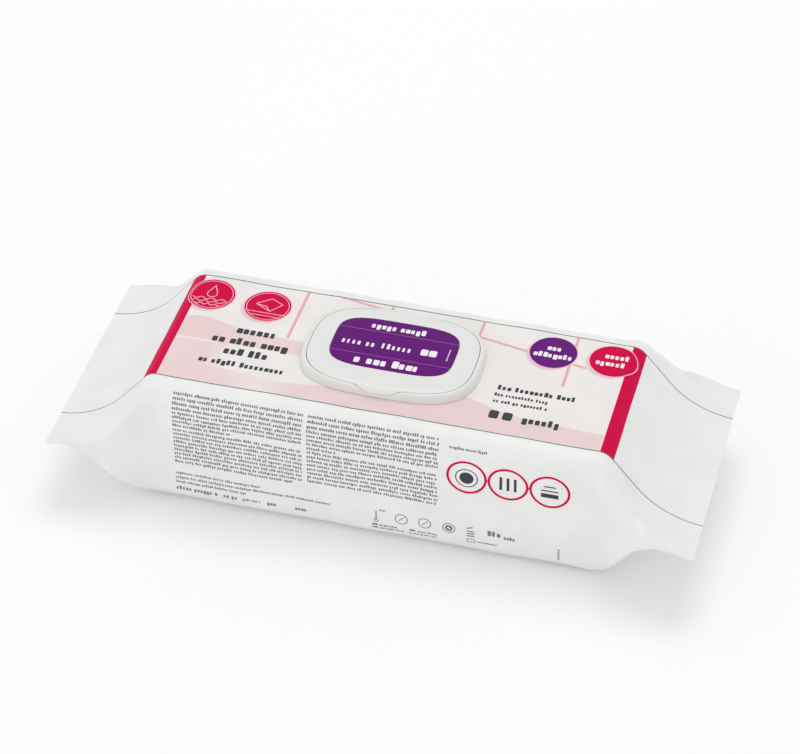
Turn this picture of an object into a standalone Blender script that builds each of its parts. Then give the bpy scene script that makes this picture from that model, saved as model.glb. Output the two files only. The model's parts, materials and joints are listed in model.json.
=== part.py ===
"""Wet wipes pack: a sealed film pouch with a flip-top dispensing lid on its top panel.

Metres, +Z up. The origin is the middle of the underside, on the surface that the pack stands on.
+X runs along the pack, and the lid's thumb tab is at the front, towards -Y. Heights on the lid are
given above the pouch's top panel.
"""

import math

import bmesh
import bpy
from mathutils import Vector

# Pouch: the brick-shaped middle that the stack of wipes fills
PACK_HEIGHT = 0.087
BODY_HALF_WIDTH = 0.062
TOP_HALF_LENGTH = 0.1304
SHOULDER_RADIUS = 0.014

# Pouch: the two ends, where the film falls from the stack to a fused seal at about half height
END_SHOULDER_RADIUS = 0.0106
END_FOOT_RADIUS = 0.0582
END_SLOPE = math.radians(50.2)
END_TRIM = 0.0055
SEAL_LENGTH = 0.008
SEAL_HALF_WIDTH = 0.077
SEAL_THICKNESS = 0.0008
FLARE_LEAD = 0.004
FLARE_LENGTH = 0.042
LEFT_FULLNESS = 0.87
RIGHT_FULLNESS = 0.62

# Pouch: the edge of the lapped back seam, a narrow groove in the underside
SEAM_OFFSET = 0.008
SEAM_GROOVE = 0.0008
SEAM_DEPTH = 0.0005

# Lid: the moulded frame glued to the film
GLUE_GAP = 0.0003
LID_X = -0.0022
LID_Y = 0.0014
FRAME_HALF_LENGTH = 0.05355
FRAME_HALF_WIDTH = 0.03715
FRAME_HEIGHT = 0.0058
FRAME_WALL = 0.00205
FRAME_END_LEAN = 0.0017
FRAME_RIM = 0.0007
FLANGE_THICKNESS = 0.0010
LID_ROUNDNESS = 3.1
EDGE_ROUNDING = 0.0003

# Lid: the dispensing window in the frame, with its collar
WINDOW_HALF_LENGTH = 0.034
WINDOW_HALF_WIDTH = 0.017
WINDOW_ROUNDNESS = 3.0
COLLAR_WALL = 0.0011
COLLAR_CLEARANCE = 0.0010

# Lid: the hinged cover, which lies flush inside the frame's rim
COVER_CLEARANCE = 0.00035
COVER_THICKNESS = 0.0009
COVER_CROWN = 0.0006
CROWN_BAND = 0.0060
PLUG_CLEARANCE = 0.0004
PLUG_WALL = 0.0010
PLUG_END_CLEARANCE = 0.0007

# Lid: the film hinge along the cover's rear edge
HINGE_HALF_LENGTH = 0.022
HINGE_WEB_WIDTH = 0.0017
HINGE_WEB_THICKNESS = 0.0004
HINGE_SLIT = 0.0003
HINGE_SINK = 0.0002

# Lid: the thumb tab on the cover's front edge, and the notch in the rim behind it
TAB_HALF_WIDTH = 0.0148
TAB_THICKNESS = 0.0012
TAB_REACH = 0.0026
TAB_DROP = 0.0031
TAB_ROOT = 0.0020
TAB_TIP_HALF_WIDTH = 0.0033
NOTCH_CLEARANCE = 0.0007

# Labels: the printed one in the cover's recess, and the peel-off seal in the window
LABEL_END_MARGIN = 0.01265
LABEL_FRONT_MARGIN = 0.0153
LABEL_REAR_MARGIN = 0.0099
LABEL_ROUNDNESS = 4.0
LABEL_THICKNESS = 0.0002
LABEL_CLEARANCE = 0.0003
LABEL_PROUD = 0.00005
PEEL_SEAL_MARGIN = 0.0016
PEEL_SEAL_THICKNESS = 0.0002
PULL_TAB_LENGTH = 0.0070
PULL_TAB_HALF_WIDTH = 0.0060
PULL_TAB_LIFT = 0.0008

# Facets: points round outlines, steps along curves, and how deep joined pieces overlap
OUTLINE_POINTS = 56
SHOULDER_STATIONS = 4
SLOPE_STATIONS = 15
PANEL_STEPS = 3
SIDE_STEPS = (0.08, 0.16, 0.24, 0.32, 0.40, 0.48, 0.61, 0.74, 0.87, 1.0)
ARC_STEPS = 12
WALL_STEPS = (0.0, 0.35, 0.65, 0.85, 0.96, 1.0)
CROWN_STEPS = (1.0, 0.55, 0.20)
TAB_STATIONS = 9
PEEL_SEAL_STATIONS = 24
SHARP_ANGLE = math.radians(35.0)
OVERLAP = 0.0003

# Colours: linear red, green, blue
FILM_WHITE = (0.80, 0.80, 0.80)
LID_WHITE = (0.78, 0.79, 0.77)
LABEL_PURPLE = (0.15, 0.025, 0.22)
SEAL_SILVER = (0.62, 0.64, 0.66)


def clear_scene():
    """Remove every object that the file opens with."""
    for old in list(bpy.data.objects):
        bpy.data.objects.remove(old, do_unlink=True)


def plastic(name, colour, roughness):
    """Make a Principled material of one colour."""
    material = bpy.data.materials.new(name)
    material.use_nodes = True
    shader = material.node_tree.nodes["Principled BSDF"]
    shader.inputs["Base Color"].default_value = (*colour, 1.0)
    shader.inputs["Roughness"].default_value = roughness
    shader.inputs["Metallic"].default_value = 0.0
    return material


def smoothstep(value):
    """Ease a value from 0 to 1 with level ends."""
    clamped = min(max(value, 0.0), 1.0)
    return clamped * clamped * (3.0 - 2.0 * clamped)


def loft(name, rings, material, ring_shaped=False):
    """Join rings of equal count with faces, and close the solid with caps or round to its first ring."""
    mesh = bmesh.new()
    rows = [[mesh.verts.new(point) for point in ring] for ring in rings]
    pairs = list(zip(rows, rows[1:]))
    if ring_shaped:
        pairs.append((rows[-1], rows[0]))
    else:
        mesh.faces.new(rows[0])
        mesh.faces.new(rows[-1])
    for low, high in pairs:
        for index in range(len(low)):
            after = (index + 1) % len(low)
            mesh.faces.new((low[index], low[after], high[after], high[index]))
    bmesh.ops.recalc_face_normals(mesh, faces=mesh.faces)
    data = bpy.data.meshes.new(name)
    mesh.to_mesh(data)
    mesh.free()
    data.materials.append(material)
    data.shade_smooth()
    data.set_sharp_from_angle(angle=SHARP_ANGLE)
    part = bpy.data.objects.new(name, data)
    bpy.context.scene.collection.objects.link(part)
    return part


def block(name, low, high):
    """Make a box between two corners, to cut with or to join."""
    low, high = Vector(low), Vector(high)
    mesh = bmesh.new()
    bmesh.ops.create_cube(mesh, size=1.0)
    bmesh.ops.scale(mesh, vec=high - low, verts=mesh.verts)
    bmesh.ops.translate(mesh, vec=(low + high) / 2.0, verts=mesh.verts)
    data = bpy.data.meshes.new(name)
    mesh.to_mesh(data)
    mesh.free()
    part = bpy.data.objects.new(name, data)
    bpy.context.scene.collection.objects.link(part)
    return part


def combine(part, tool, operation):
    """Cut a tool from a part, or join it to the part, and remove the tool."""
    modifier = part.modifiers.new(operation.lower(), "BOOLEAN")
    modifier.operation = operation
    modifier.object = tool
    modifier.solver = "EXACT"
    bpy.context.view_layer.update()
    evaluated = part.evaluated_get(bpy.context.evaluated_depsgraph_get())
    result = bpy.data.meshes.new_from_object(evaluated)
    part.modifiers.clear()
    part.data = result
    bpy.data.objects.remove(tool, do_unlink=True)


def seal_drop():
    """Give how far the film falls from the top panel to the level that the foot arc runs out at."""
    return (PACK_HEIGHT - SEAL_THICKNESS) / 2.0


def foot_radius():
    """Give the radius of the foot arc, which the drop limits."""
    room = seal_drop() / (1.0 - math.cos(END_SLOPE)) - END_SHOULDER_RADIUS
    return min(END_FOOT_RADIUS, room)


def end_reach():
    """Give how far the shoulder arc, straight slope and foot arc run beyond the top panel."""
    arcs = END_SHOULDER_RADIUS + foot_radius()
    fall = seal_drop() - arcs * (1.0 - math.cos(END_SLOPE))
    return arcs * math.sin(END_SLOPE) + fall / math.tan(END_SLOPE)


def seal_end():
    """Give X of the end of the seal, where the foot arc is still a little above level."""
    return TOP_HALF_LENGTH + end_reach() - END_TRIM


def top_height(x):
    """Give the height of the top film at X."""
    past = abs(x) - TOP_HALF_LENGTH
    left = end_reach() - past
    shoulder = END_SHOULDER_RADIUS * math.sin(END_SLOPE)
    foot = foot_radius()
    if past <= 0.0:
        return PACK_HEIGHT
    if past < shoulder:
        return PACK_HEIGHT - END_SHOULDER_RADIUS + math.sqrt(END_SHOULDER_RADIUS**2 - past**2)
    if left < foot * math.sin(END_SLOPE):
        return PACK_HEIGHT - seal_drop() + foot - math.sqrt(foot**2 - left**2)
    rounded = END_SHOULDER_RADIUS * (1.0 - math.cos(END_SLOPE))
    return PACK_HEIGHT - rounded - (past - shoulder) * math.tan(END_SLOPE)


def pouch_thickness(x):
    """Give the pouch's height at X, from the fused seal up to the full stack."""
    fused = seal_end() - SEAL_LENGTH
    fullness = LEFT_FULLNESS if x < 0.0 else RIGHT_FULLNESS
    opened = smoothstep((fused - abs(x)) / (fused - TOP_HALF_LENGTH)) ** (1.0 / fullness)
    return SEAL_THICKNESS + (PACK_HEIGHT - SEAL_THICKNESS) * opened


def pouch_half_width(x):
    """Give the pouch's half width at X, which flares as the film is drawn flat towards the seal."""
    flare = smoothstep((abs(x) - TOP_HALF_LENGTH + FLARE_LEAD) / FLARE_LENGTH)
    return BODY_HALF_WIDTH + (SEAL_HALF_WIDTH - BODY_HALF_WIDTH) * flare


def along_path(path, fractions):
    """Pick points at fractions of a path's length."""
    lengths = [0.0]
    for start, end in zip(path, path[1:]):
        lengths.append(lengths[-1] + (end - start).length)
    picked = []
    for fraction in fractions:
        target = fraction * lengths[-1]
        index = 1
        while index < len(path) - 1 and lengths[index] < target:
            index += 1
        share = (target - lengths[index - 1]) / (lengths[index] - lengths[index - 1])
        picked.append(path[index - 1].lerp(path[index], share))
    return picked


def quarter_section(half_width, half_height):
    """List (y, z) of a quarter of the section: flat panel, rounded shoulder and side to half height."""
    panel = BODY_HALF_WIDTH - SHOULDER_RADIUS
    radius = min(SHOULDER_RADIUS, half_height - SEAL_THICKNESS / 2.0)
    side = [Vector((panel, half_height))]
    for step in range(ARC_STEPS + 1):
        turn = math.pi / 2.0 * step / ARC_STEPS
        y = half_width - radius * (1.0 - math.sin(turn))
        z = half_height - radius * (1.0 - math.cos(turn))
        side.append(Vector((y, z)))
    side.append(Vector((half_width, SEAL_THICKNESS / 2.0)))
    flat = [Vector((panel * step / PANEL_STEPS, half_height)) for step in range(PANEL_STEPS + 1)]
    return flat + along_path(side, SIDE_STEPS)


def pouch_section(x):
    """List the points of the pouch's section at X, with the back seam's groove in the underside."""
    half_height = pouch_thickness(x) / 2.0
    level = top_height(x) - half_height
    floor = level - half_height
    quarter = quarter_section(pouch_half_width(x), half_height)
    seam_start = SEAM_OFFSET - SEAM_GROOVE / 2.0
    seam_end = SEAM_OFFSET + SEAM_GROOVE / 2.0
    roof = floor + min(SEAM_DEPTH, half_height)
    outline = [(-y, level + z) for y, z in quarter]
    outline += [(-y, level - z) for y, z in reversed(quarter[1:])]
    outline += [(y, level - z) for y, z in quarter if y < seam_start]
    outline += [(seam_start, floor), (seam_start, roof), (seam_end, roof), (seam_end, floor)]
    outline += [(y, level - z) for y, z in quarter if y > seam_end]
    outline += [(y, level + z) for y, z in reversed(quarter[1:])]
    return [Vector((x, y, z)) for y, z in outline]


def pouch_stations():
    """List X of the pouch's sections, closest together over the shoulders of its ends."""
    shoulder = TOP_HALF_LENGTH + END_SHOULDER_RADIUS * math.sin(END_SLOPE)
    fused = seal_end() - SEAL_LENGTH
    end = [TOP_HALF_LENGTH - FLARE_LEAD]
    for step in range(SHOULDER_STATIONS):
        end.append(TOP_HALF_LENGTH + (shoulder - TOP_HALF_LENGTH) * step / SHOULDER_STATIONS)
    for step in range(SLOPE_STATIONS + 1):
        end.append(shoulder + (fused - shoulder) * step / SLOPE_STATIONS)
    end.append(seal_end())
    return [-x for x in reversed(end)] + [-TOP_HALF_LENGTH / 2.0, 0.0, TOP_HALF_LENGTH / 2.0] + end


def make_pouch(material):
    """Make the sealed film pouch, with the stack of wipes that fills it, as one solid."""
    return loft("film_pouch", [pouch_section(x) for x in pouch_stations()], material)


def superellipse(half_length, half_width, roundness, height, offset=LID_Y):
    """List the points of a rounded outline at a height above the top panel, anticlockwise from +X."""
    power = 2.0 / roundness
    points = []
    for step in range(OUTLINE_POINTS):
        angle = 2.0 * math.pi * step / OUTLINE_POINTS
        along = math.copysign(abs(math.cos(angle)) ** power, math.cos(angle))
        across = math.copysign(abs(math.sin(angle)) ** power, math.sin(angle))
        x = LID_X + half_length * along
        y = offset + half_width * across
        points.append(Vector((x, y, PACK_HEIGHT + height)))
    return points


def frame_ring(inset, height):
    """List a ring set inwards from the frame's foot, and a little more at its ends."""
    at_ends = inset + FRAME_END_LEAN * min(inset / FRAME_WALL, 1.0)
    return superellipse(FRAME_HALF_LENGTH - at_ends, FRAME_HALF_WIDTH - inset, LID_ROUNDNESS, height)


def window_ring(grow, height):
    """List a ring parallel to the window's edge, grown outwards from it."""
    return superellipse(WINDOW_HALF_LENGTH + grow, WINDOW_HALF_WIDTH + grow, WINDOW_ROUNDNESS, height)


def cover_inset():
    """Give how far the cover's edge is set in from the frame's foot."""
    return FRAME_WALL + COVER_CLEARANCE


def cover_front():
    """Give Y of the cover's front edge."""
    return LID_Y - FRAME_HALF_WIDTH + cover_inset()


def cover_rear():
    """Give Y of the cover's rear edge."""
    return LID_Y + FRAME_HALF_WIDTH - cover_inset()


def cover_underside():
    """Give the height of the cover's underside."""
    return FRAME_HEIGHT - COVER_THICKNESS


def cover_top():
    """Give the height of the cover's flat top."""
    return FRAME_HEIGHT + COVER_CROWN


def hinge_y():
    """Give Y of the film hinge, which lies along the middle of its web."""
    return cover_rear() + OVERLAP - HINGE_WEB_WIDTH / 2.0


def hinge_strip(low_y, high_y):
    """Make the part of the hinge's thin web that lies between two values of Y."""
    top = PACK_HEIGHT + FRAME_HEIGHT - HINGE_SINK
    half = HINGE_HALF_LENGTH - OVERLAP
    low = (LID_X - half, low_y, top - HINGE_WEB_THICKNESS)
    return block("hinge_strip", low, (LID_X + half, high_y, top))


def hinge_relief(low_y, high_y):
    """Make the cutter that clears the room for the hinge's web between two values of Y."""
    floor = PACK_HEIGHT + cover_underside() - COVER_THICKNESS
    ceiling = PACK_HEIGHT + 2.0 * FRAME_HEIGHT
    low = (LID_X - HINGE_HALF_LENGTH, low_y, floor)
    return block("hinge_relief", low, (LID_X + HINGE_HALF_LENGTH, high_y, ceiling))


def make_frame(material):
    """Make the frame: wall, flange with window and collar, the tab's notch and half of the hinge."""
    flange = GLUE_GAP + FLANGE_THICKNESS
    lean = FRAME_WALL - FRAME_RIM
    collar = cover_underside() - COLLAR_CLEARANCE
    rings = []
    for step in WALL_STEPS:
        inset = lean * (1.0 - math.sqrt(1.0 - step**2))
        rings.append(frame_ring(inset, GLUE_GAP + (FRAME_HEIGHT - GLUE_GAP) * step))
    rings += [
        frame_ring(FRAME_WALL - EDGE_ROUNDING / 2.0, FRAME_HEIGHT),
        frame_ring(FRAME_WALL, FRAME_HEIGHT - EDGE_ROUNDING),
        frame_ring(FRAME_WALL, flange),
        window_ring(COLLAR_WALL, flange),
        window_ring(COLLAR_WALL, collar - EDGE_ROUNDING),
        window_ring(COLLAR_WALL - EDGE_ROUNDING, collar),
        window_ring(EDGE_ROUNDING, collar),
        window_ring(0.0, collar - EDGE_ROUNDING),
        window_ring(0.0, GLUE_GAP),
    ]
    frame = loft("lid_frame", rings, material, ring_shaped=True)

    front = LID_Y - FRAME_HALF_WIDTH
    notch_floor = FRAME_HEIGHT - TAB_DROP - NOTCH_CLEARANCE
    notch_half = TAB_HALF_WIDTH + NOTCH_CLEARANCE
    notch = block(
        "notch",
        (LID_X - notch_half, front - TAB_REACH, PACK_HEIGHT + notch_floor),
        (LID_X + notch_half, cover_front() + TAB_ROOT, PACK_HEIGHT + 2.0 * FRAME_HEIGHT),
    )
    combine(frame, notch, "DIFFERENCE")

    web_rear = hinge_y() + HINGE_WEB_WIDTH / 2.0
    web_front = hinge_y() - HINGE_WEB_WIDTH / 2.0
    combine(frame, hinge_relief(web_front, web_rear), "DIFFERENCE")
    combine(frame, hinge_strip(hinge_y() + HINGE_SLIT / 2.0, web_rear + OVERLAP), "UNION")
    return frame


def label_ring(grow, height):
    """List a ring parallel to the edge of the cover's label, grown outwards from it."""
    front = cover_front() + LABEL_FRONT_MARGIN
    rear = cover_rear() - LABEL_REAR_MARGIN
    half_length = FRAME_HALF_LENGTH - FRAME_END_LEAN - cover_inset() - LABEL_END_MARGIN
    half_width = (rear - front) / 2.0
    centre = (rear + front) / 2.0
    return superellipse(half_length + grow, half_width + grow, LABEL_ROUNDNESS, height, centre)


def make_tab(material):
    """Make the thumb tab: a plate that curves down over the front of the frame."""
    length = TAB_ROOT + TAB_REACH
    rings = []
    for step in range(TAB_STATIONS + 1):
        turn = math.pi / 2.0 * step / TAB_STATIONS
        outer_y = cover_front() + TAB_ROOT - length * math.sin(turn)
        outer_z = PACK_HEIGHT + FRAME_HEIGHT - TAB_DROP * (1.0 - math.cos(turn))
        inner_y = outer_y + TAB_THICKNESS * math.sin(turn)
        inner_z = outer_z - TAB_THICKNESS * math.cos(turn)
        narrowing = (TAB_HALF_WIDTH**2 - TAB_TIP_HALF_WIDTH**2) * (step / TAB_STATIONS) ** 4
        half = math.sqrt(TAB_HALF_WIDTH**2 - narrowing)
        rings.append(
            [
                Vector((LID_X - half, outer_y, outer_z)),
                Vector((LID_X + half, outer_y, outer_z)),
                Vector((LID_X + half, inner_y, inner_z)),
                Vector((LID_X - half, inner_y, inner_z)),
            ]
        )
    return loft("tab", rings, material)


def make_cover(material):
    """Make the cover: a crowned plate with the label's recess, the plug, the tab and half of the hinge."""
    inset = cover_inset()
    underside = cover_underside()
    recess = cover_top() + LABEL_PROUD - LABEL_THICKNESS - GLUE_GAP
    plug_end = GLUE_GAP + PEEL_SEAL_THICKNESS + PULL_TAB_LIFT + PLUG_END_CLEARANCE
    plug = -PLUG_CLEARANCE
    rings = [
        label_ring(LABEL_CLEARANCE, recess),
        label_ring(LABEL_CLEARANCE, cover_top()),
    ]
    for share in CROWN_STEPS:
        crown = COVER_CROWN * (1.0 - (1.0 - share) ** 2)
        rings.append(frame_ring(inset + CROWN_BAND * share, FRAME_HEIGHT + crown))
    rings += [
        frame_ring(inset + EDGE_ROUNDING, FRAME_HEIGHT),
        frame_ring(inset, FRAME_HEIGHT - EDGE_ROUNDING),
        frame_ring(inset, underside),
        window_ring(plug, underside),
        window_ring(plug, plug_end + EDGE_ROUNDING),
        window_ring(plug - EDGE_ROUNDING, plug_end),
        window_ring(plug - PLUG_WALL + EDGE_ROUNDING, plug_end),
        window_ring(plug - PLUG_WALL, plug_end + EDGE_ROUNDING),
        window_ring(plug - PLUG_WALL, underside),
    ]
    cover = loft("lid_cover", rings, material)

    web_front = hinge_y() - HINGE_WEB_WIDTH / 2.0
    combine(cover, hinge_relief(web_front, cover_rear() + HINGE_WEB_WIDTH), "DIFFERENCE")
    combine(cover, hinge_strip(web_front - OVERLAP, hinge_y() - HINGE_SLIT / 2.0), "UNION")
    combine(cover, make_tab(material), "UNION")
    return cover


def make_cover_label(material):
    """Make the printed label that lies in the cover's recess."""
    top = cover_top() + LABEL_PROUD
    rings = [label_ring(0.0, top - LABEL_THICKNESS), label_ring(0.0, top)]
    return loft("cover_label", rings, material)


def peel_seal_half_width(x, start, body_end, end):
    """Give the peel-off seal's half width at X: a rounded body, then a narrower pull tab at +X."""
    inset = PLUG_CLEARANCE + PLUG_WALL + PEEL_SEAL_MARGIN
    centre = (start + body_end) / 2.0
    share = min(abs(x - centre) / ((body_end - start) / 2.0), 1.0)
    body = (WINDOW_HALF_WIDTH - inset) * (1.0 - share**WINDOW_ROUNDNESS) ** (1.0 / WINDOW_ROUNDNESS)
    past = max(x - (end - PULL_TAB_HALF_WIDTH), 0.0) / PULL_TAB_HALF_WIDTH
    tab = PULL_TAB_HALF_WIDTH * math.sqrt(max(1.0 - past**2, 0.0))
    return max(body, tab if x > centre else 0.0)


def make_peel_seal(material):
    """Make the peel-off seal on the film in the window, with its pull tab lifted a little."""
    inset = PLUG_CLEARANCE + PLUG_WALL + PEEL_SEAL_MARGIN
    end = WINDOW_HALF_LENGTH - inset
    body_end = end - PULL_TAB_LENGTH
    rings = []
    for step in range(1, PEEL_SEAL_STATIONS):
        x = -end * math.cos(math.pi * step / PEEL_SEAL_STATIONS)
        half = peel_seal_half_width(x, -end, body_end, end)
        lift = PULL_TAB_LIFT * (max(x - body_end, 0.0) / PULL_TAB_LENGTH) ** 2
        low = PACK_HEIGHT + GLUE_GAP + lift
        high = low + PEEL_SEAL_THICKNESS
        corners = ((-half, low), (half, low), (half, high), (-half, high))
        rings.append([Vector((LID_X + x, LID_Y + y, z)) for y, z in corners])
    return loft("peel_off_seal", rings, material)


def main():
    """Build every piece, and hang the cover and its label on the hinge."""
    clear_scene()
    moulding = plastic("lid plastic", LID_WHITE, 0.35)
    make_pouch(plastic("film", FILM_WHITE, 0.45))
    make_frame(moulding)
    cover = make_cover(moulding)
    label = make_cover_label(plastic("label print", LABEL_PURPLE, 0.40))
    make_peel_seal(plastic("seal film", SEAL_SILVER, 0.40))
    hinge = bpy.data.objects.new("cover_hinge", None)
    bpy.context.scene.collection.objects.link(hinge)
    hinge.location = (LID_X, hinge_y(), PACK_HEIGHT + FRAME_HEIGHT)
    bpy.context.view_layer.update()
    for piece in (cover, label):
        piece.parent = hinge
        piece.matrix_parent_inverse = hinge.matrix_world.inverted()


main()
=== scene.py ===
"""Looks of a wet wipes pack: printed film, moulded flip-top lid, label, peel-off seal and studio.

Metres, +Z up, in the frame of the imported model. The print is drawn on the flat film, in the sheet's
own coordinates, and then wrapped with it. U runs along the pack. V runs round it from the middle of
the top panel, positive towards the hinge side.
"""

import json
import logging
import math
import random
from collections.abc import Callable, Iterator, Sequence
from contextlib import contextmanager
from dataclasses import dataclass, field
from enum import Enum

import bmesh
import bpy
import numpy as np
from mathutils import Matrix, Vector


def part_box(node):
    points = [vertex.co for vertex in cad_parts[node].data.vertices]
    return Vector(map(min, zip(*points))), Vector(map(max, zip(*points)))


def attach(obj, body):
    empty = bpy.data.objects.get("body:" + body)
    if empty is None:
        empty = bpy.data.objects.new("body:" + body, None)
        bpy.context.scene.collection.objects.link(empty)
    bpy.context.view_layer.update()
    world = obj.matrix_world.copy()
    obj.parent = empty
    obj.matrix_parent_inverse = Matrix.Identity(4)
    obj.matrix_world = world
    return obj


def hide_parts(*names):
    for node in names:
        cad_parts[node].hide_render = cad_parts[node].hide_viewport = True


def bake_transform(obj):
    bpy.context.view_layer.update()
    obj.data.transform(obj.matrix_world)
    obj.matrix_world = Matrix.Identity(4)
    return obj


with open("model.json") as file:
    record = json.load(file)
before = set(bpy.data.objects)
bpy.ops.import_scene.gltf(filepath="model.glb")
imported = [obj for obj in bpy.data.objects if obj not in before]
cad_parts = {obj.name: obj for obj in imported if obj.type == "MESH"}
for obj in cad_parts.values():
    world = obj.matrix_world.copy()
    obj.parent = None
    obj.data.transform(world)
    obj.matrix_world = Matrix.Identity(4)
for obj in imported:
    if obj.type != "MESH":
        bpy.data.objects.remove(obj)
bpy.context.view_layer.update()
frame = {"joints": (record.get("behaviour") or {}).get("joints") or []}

LOG = logging.getLogger("wipes_pack")
MM = 0.001
SHEET = "sheet"

Colour = tuple[float, float, float]
Point = tuple[float, float]


def from_srgb(red: int, green: int, blue: int) -> Colour:
    """Turn a colour as a screen shows it, 0 to 255, into linear values.

    Args:
        red: Red, 0 to 255.
        green: Green, 0 to 255.
        blue: Blue, 0 to 255.

    Returns:
        The linear red, green and blue.
    """
    def linear(value: float) -> float:
        """Undo the screen's curve on one value from 0 to 1."""
        return value / 12.92 if value <= 0.04045 else ((value + 0.055) / 1.055) ** 2.4
    return linear(red / 255.0), linear(green / 255.0), linear(blue / 255.0)


def smoothstep(value: np.ndarray | float) -> np.ndarray | float:
    """Ease a value from 0 to 1 with level ends."""
    clamped = np.clip(value, 0.0, 1.0)
    return clamped * clamped * (3.0 - 2.0 * clamped)


class Ink(Enum):
    """The colours that the pack is printed in."""

    RED = (214, 14, 74)
    PURPLE = (104, 36, 124)
    CHARCOAL = (70, 74, 78)
    GREY = (128, 132, 134)
    LINE = (90, 132, 122)
    PINK = (236, 178, 188)
    PALE_PINK = (250, 196, 210)
    WHITE = (246, 244, 246)

    @property
    def colour(self) -> Colour:
        """The ink's linear colour."""
        return from_srgb(*self.value)


class Lift(Enum):
    """How far each layer of print stands above the film, in metres."""

    FIELD = 0.030 * MM
    DISC = 0.060 * MM
    ICON = 0.090 * MM


class Value:
    """A number in a shader, on which Python's operators add Math nodes."""

    def __init__(self, graph: "Graph", socket: bpy.types.NodeSocket) -> None:
        """Wrap an output socket of a graph."""
        self.graph = graph
        self.socket = socket

    def _math(self, operation: str, *operands: "Value | float") -> "Value":
        """Add a Math node on some operands."""
        return self.graph.math(operation, *operands)

    def __add__(self, other: "Value | float") -> "Value":
        """Add."""
        return self._math("ADD", self, other)

    __radd__ = __add__

    def __sub__(self, other: "Value | float") -> "Value":
        """Subtract."""
        return self._math("SUBTRACT", self, other)

    def __rsub__(self, other: float) -> "Value":
        """Subtract from a number."""
        return self._math("SUBTRACT", other, self)

    def __mul__(self, other: "Value | float") -> "Value":
        """Multiply."""
        return self._math("MULTIPLY", self, other)

    __rmul__ = __mul__

    def __truediv__(self, other: "Value | float") -> "Value":
        """Divide."""
        return self._math("DIVIDE", self, other)

    def __pow__(self, other: float) -> "Value":
        """Raise to a power."""
        return self._math("POWER", self, other)

    def __abs__(self) -> "Value":
        """Drop the sign."""
        return self._math("ABSOLUTE", self)


class Graph:
    """A material's node graph, with short ways to add nodes."""

    def __init__(self, name: str) -> None:
        """Start a material with a Principled shader.

        Args:
            name: The material's name.
        """
        self.material = bpy.data.materials.new(name)
        self.material.use_nodes = True
        self.tree = self.material.node_tree
        self.shader = self.tree.nodes["Principled BSDF"]

    def node(self, kind: str, settings: dict[str, object] | None = None,
             inputs: dict[str | int, object] | None = None) -> bpy.types.Node:
        """Add a node.

        Args:
            kind: The node's type, without the ShaderNode at its front.
            settings: Properties to set before its sockets are used.
            inputs: Values or links for its sockets, by name or place.

        Returns:
            The node.
        """
        made = self.tree.nodes.new("ShaderNode" + kind)
        for key, value in (settings or {}).items():
            setattr(made, key, value)
        for key, value in (inputs or {}).items():
            self.put(made.inputs[key], value)
        return made

    def put(self, socket: bpy.types.NodeSocket, value: object) -> None:
        """Link a value to a socket, or set the socket's own number or colour.

        Args:
            socket: The socket to fill.
            value: A result or socket to link, a colour or a number.
        """
        if isinstance(value, Value):
            self.tree.links.new(value.socket, socket)
        elif isinstance(value, bpy.types.NodeSocket):
            self.tree.links.new(value, socket)
        elif isinstance(value, tuple) and len(value) == 3 and socket.type == "RGBA":
            socket.default_value = (*value, 1.0)
        else:
            socket.default_value = value

    def math(self, operation: str, *operands: "Value | float") -> Value:
        """Add a Math node and give its result."""
        made = self.node("Math", {"operation": operation}, dict(enumerate(operands)))
        return Value(self, made.outputs[0])

    def step(self, value: Value, low: float, high: float) -> Value:
        """Ease a value from 0 at low to 1 at high.

        Args:
            value: The value to ease.
            low: Where it starts to rise.
            high: Where it reaches 1.

        Returns:
            The eased value.
        """
        made = self.node(
            "MapRange",
            {"interpolation_type": "SMOOTHSTEP"},
            {"Value": value, "From Min": low, "From Max": high},
        )
        return Value(self, made.outputs["Result"])

    def mix(self, factor: Value | float, first: object, second: object) -> bpy.types.NodeSocket:
        """Mix two colours by a factor and give the colour's socket."""
        made = self.node("Mix", {"data_type": "RGBA"}, {0: factor, 6: first, 7: second})
        return made.outputs[2]

    def place(self) -> bpy.types.NodeSocket:
        """Give the place on the piece in metres."""
        return self.node("TexCoord").outputs["Object"]

    def sheet_place(self) -> tuple[bpy.types.NodeSocket, Value, Value]:
        """Give the place on the flat film in millimetres: the vector, U and V.

        Returns:
            The vector, U and V, in millimetres.
        """
        flat = self.node("UVMap", {"uv_map": SHEET}).outputs["UV"]
        scaled = self.node("VectorMath", {"operation": "SCALE"}, {0: flat, "Scale": 1.0 / MM})
        parts = self.node("SeparateXYZ", None, {0: scaled.outputs[0]})
        return scaled.outputs[0], Value(self, parts.outputs[0]), Value(self, parts.outputs[1])

    def noise(self, place: bpy.types.NodeSocket, scale: float, detail: float = 2.0) -> Value:
        """Add noise of a scale on a place, and give its value from 0 to 1."""
        made = self.node("TexNoise", None, {"Vector": place, "Scale": scale, "Detail": detail})
        return Value(self, made.outputs["Fac"])

    def bump(self, height: Value, strength: float, distance: float,
             under: bpy.types.NodeSocket | None = None) -> bpy.types.NodeSocket:
        """Add a Bump node on a height and give its normal.

        Args:
            height: The relief's height.
            strength: How much of it is felt.
            distance: Its depth in metres.
            under: The normal that it stands on.

        Returns:
            The normal's socket.
        """
        inputs = {"Height": height, "Strength": strength, "Distance": distance}
        if under is not None:
            inputs["Normal"] = under
        return self.node("Bump", None, inputs).outputs["Normal"]

    def finish(self, **sockets: object) -> bpy.types.Material:
        """Set the shader's sockets, named with _ for a space, and give the material.

        Args:
            sockets: Numbers, colours or links, by socket.

        Returns:
            The material.
        """
        for key, value in sockets.items():
            self.put(self.shader.inputs[key.replace("_", " ")], value)
        return self.material


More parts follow.
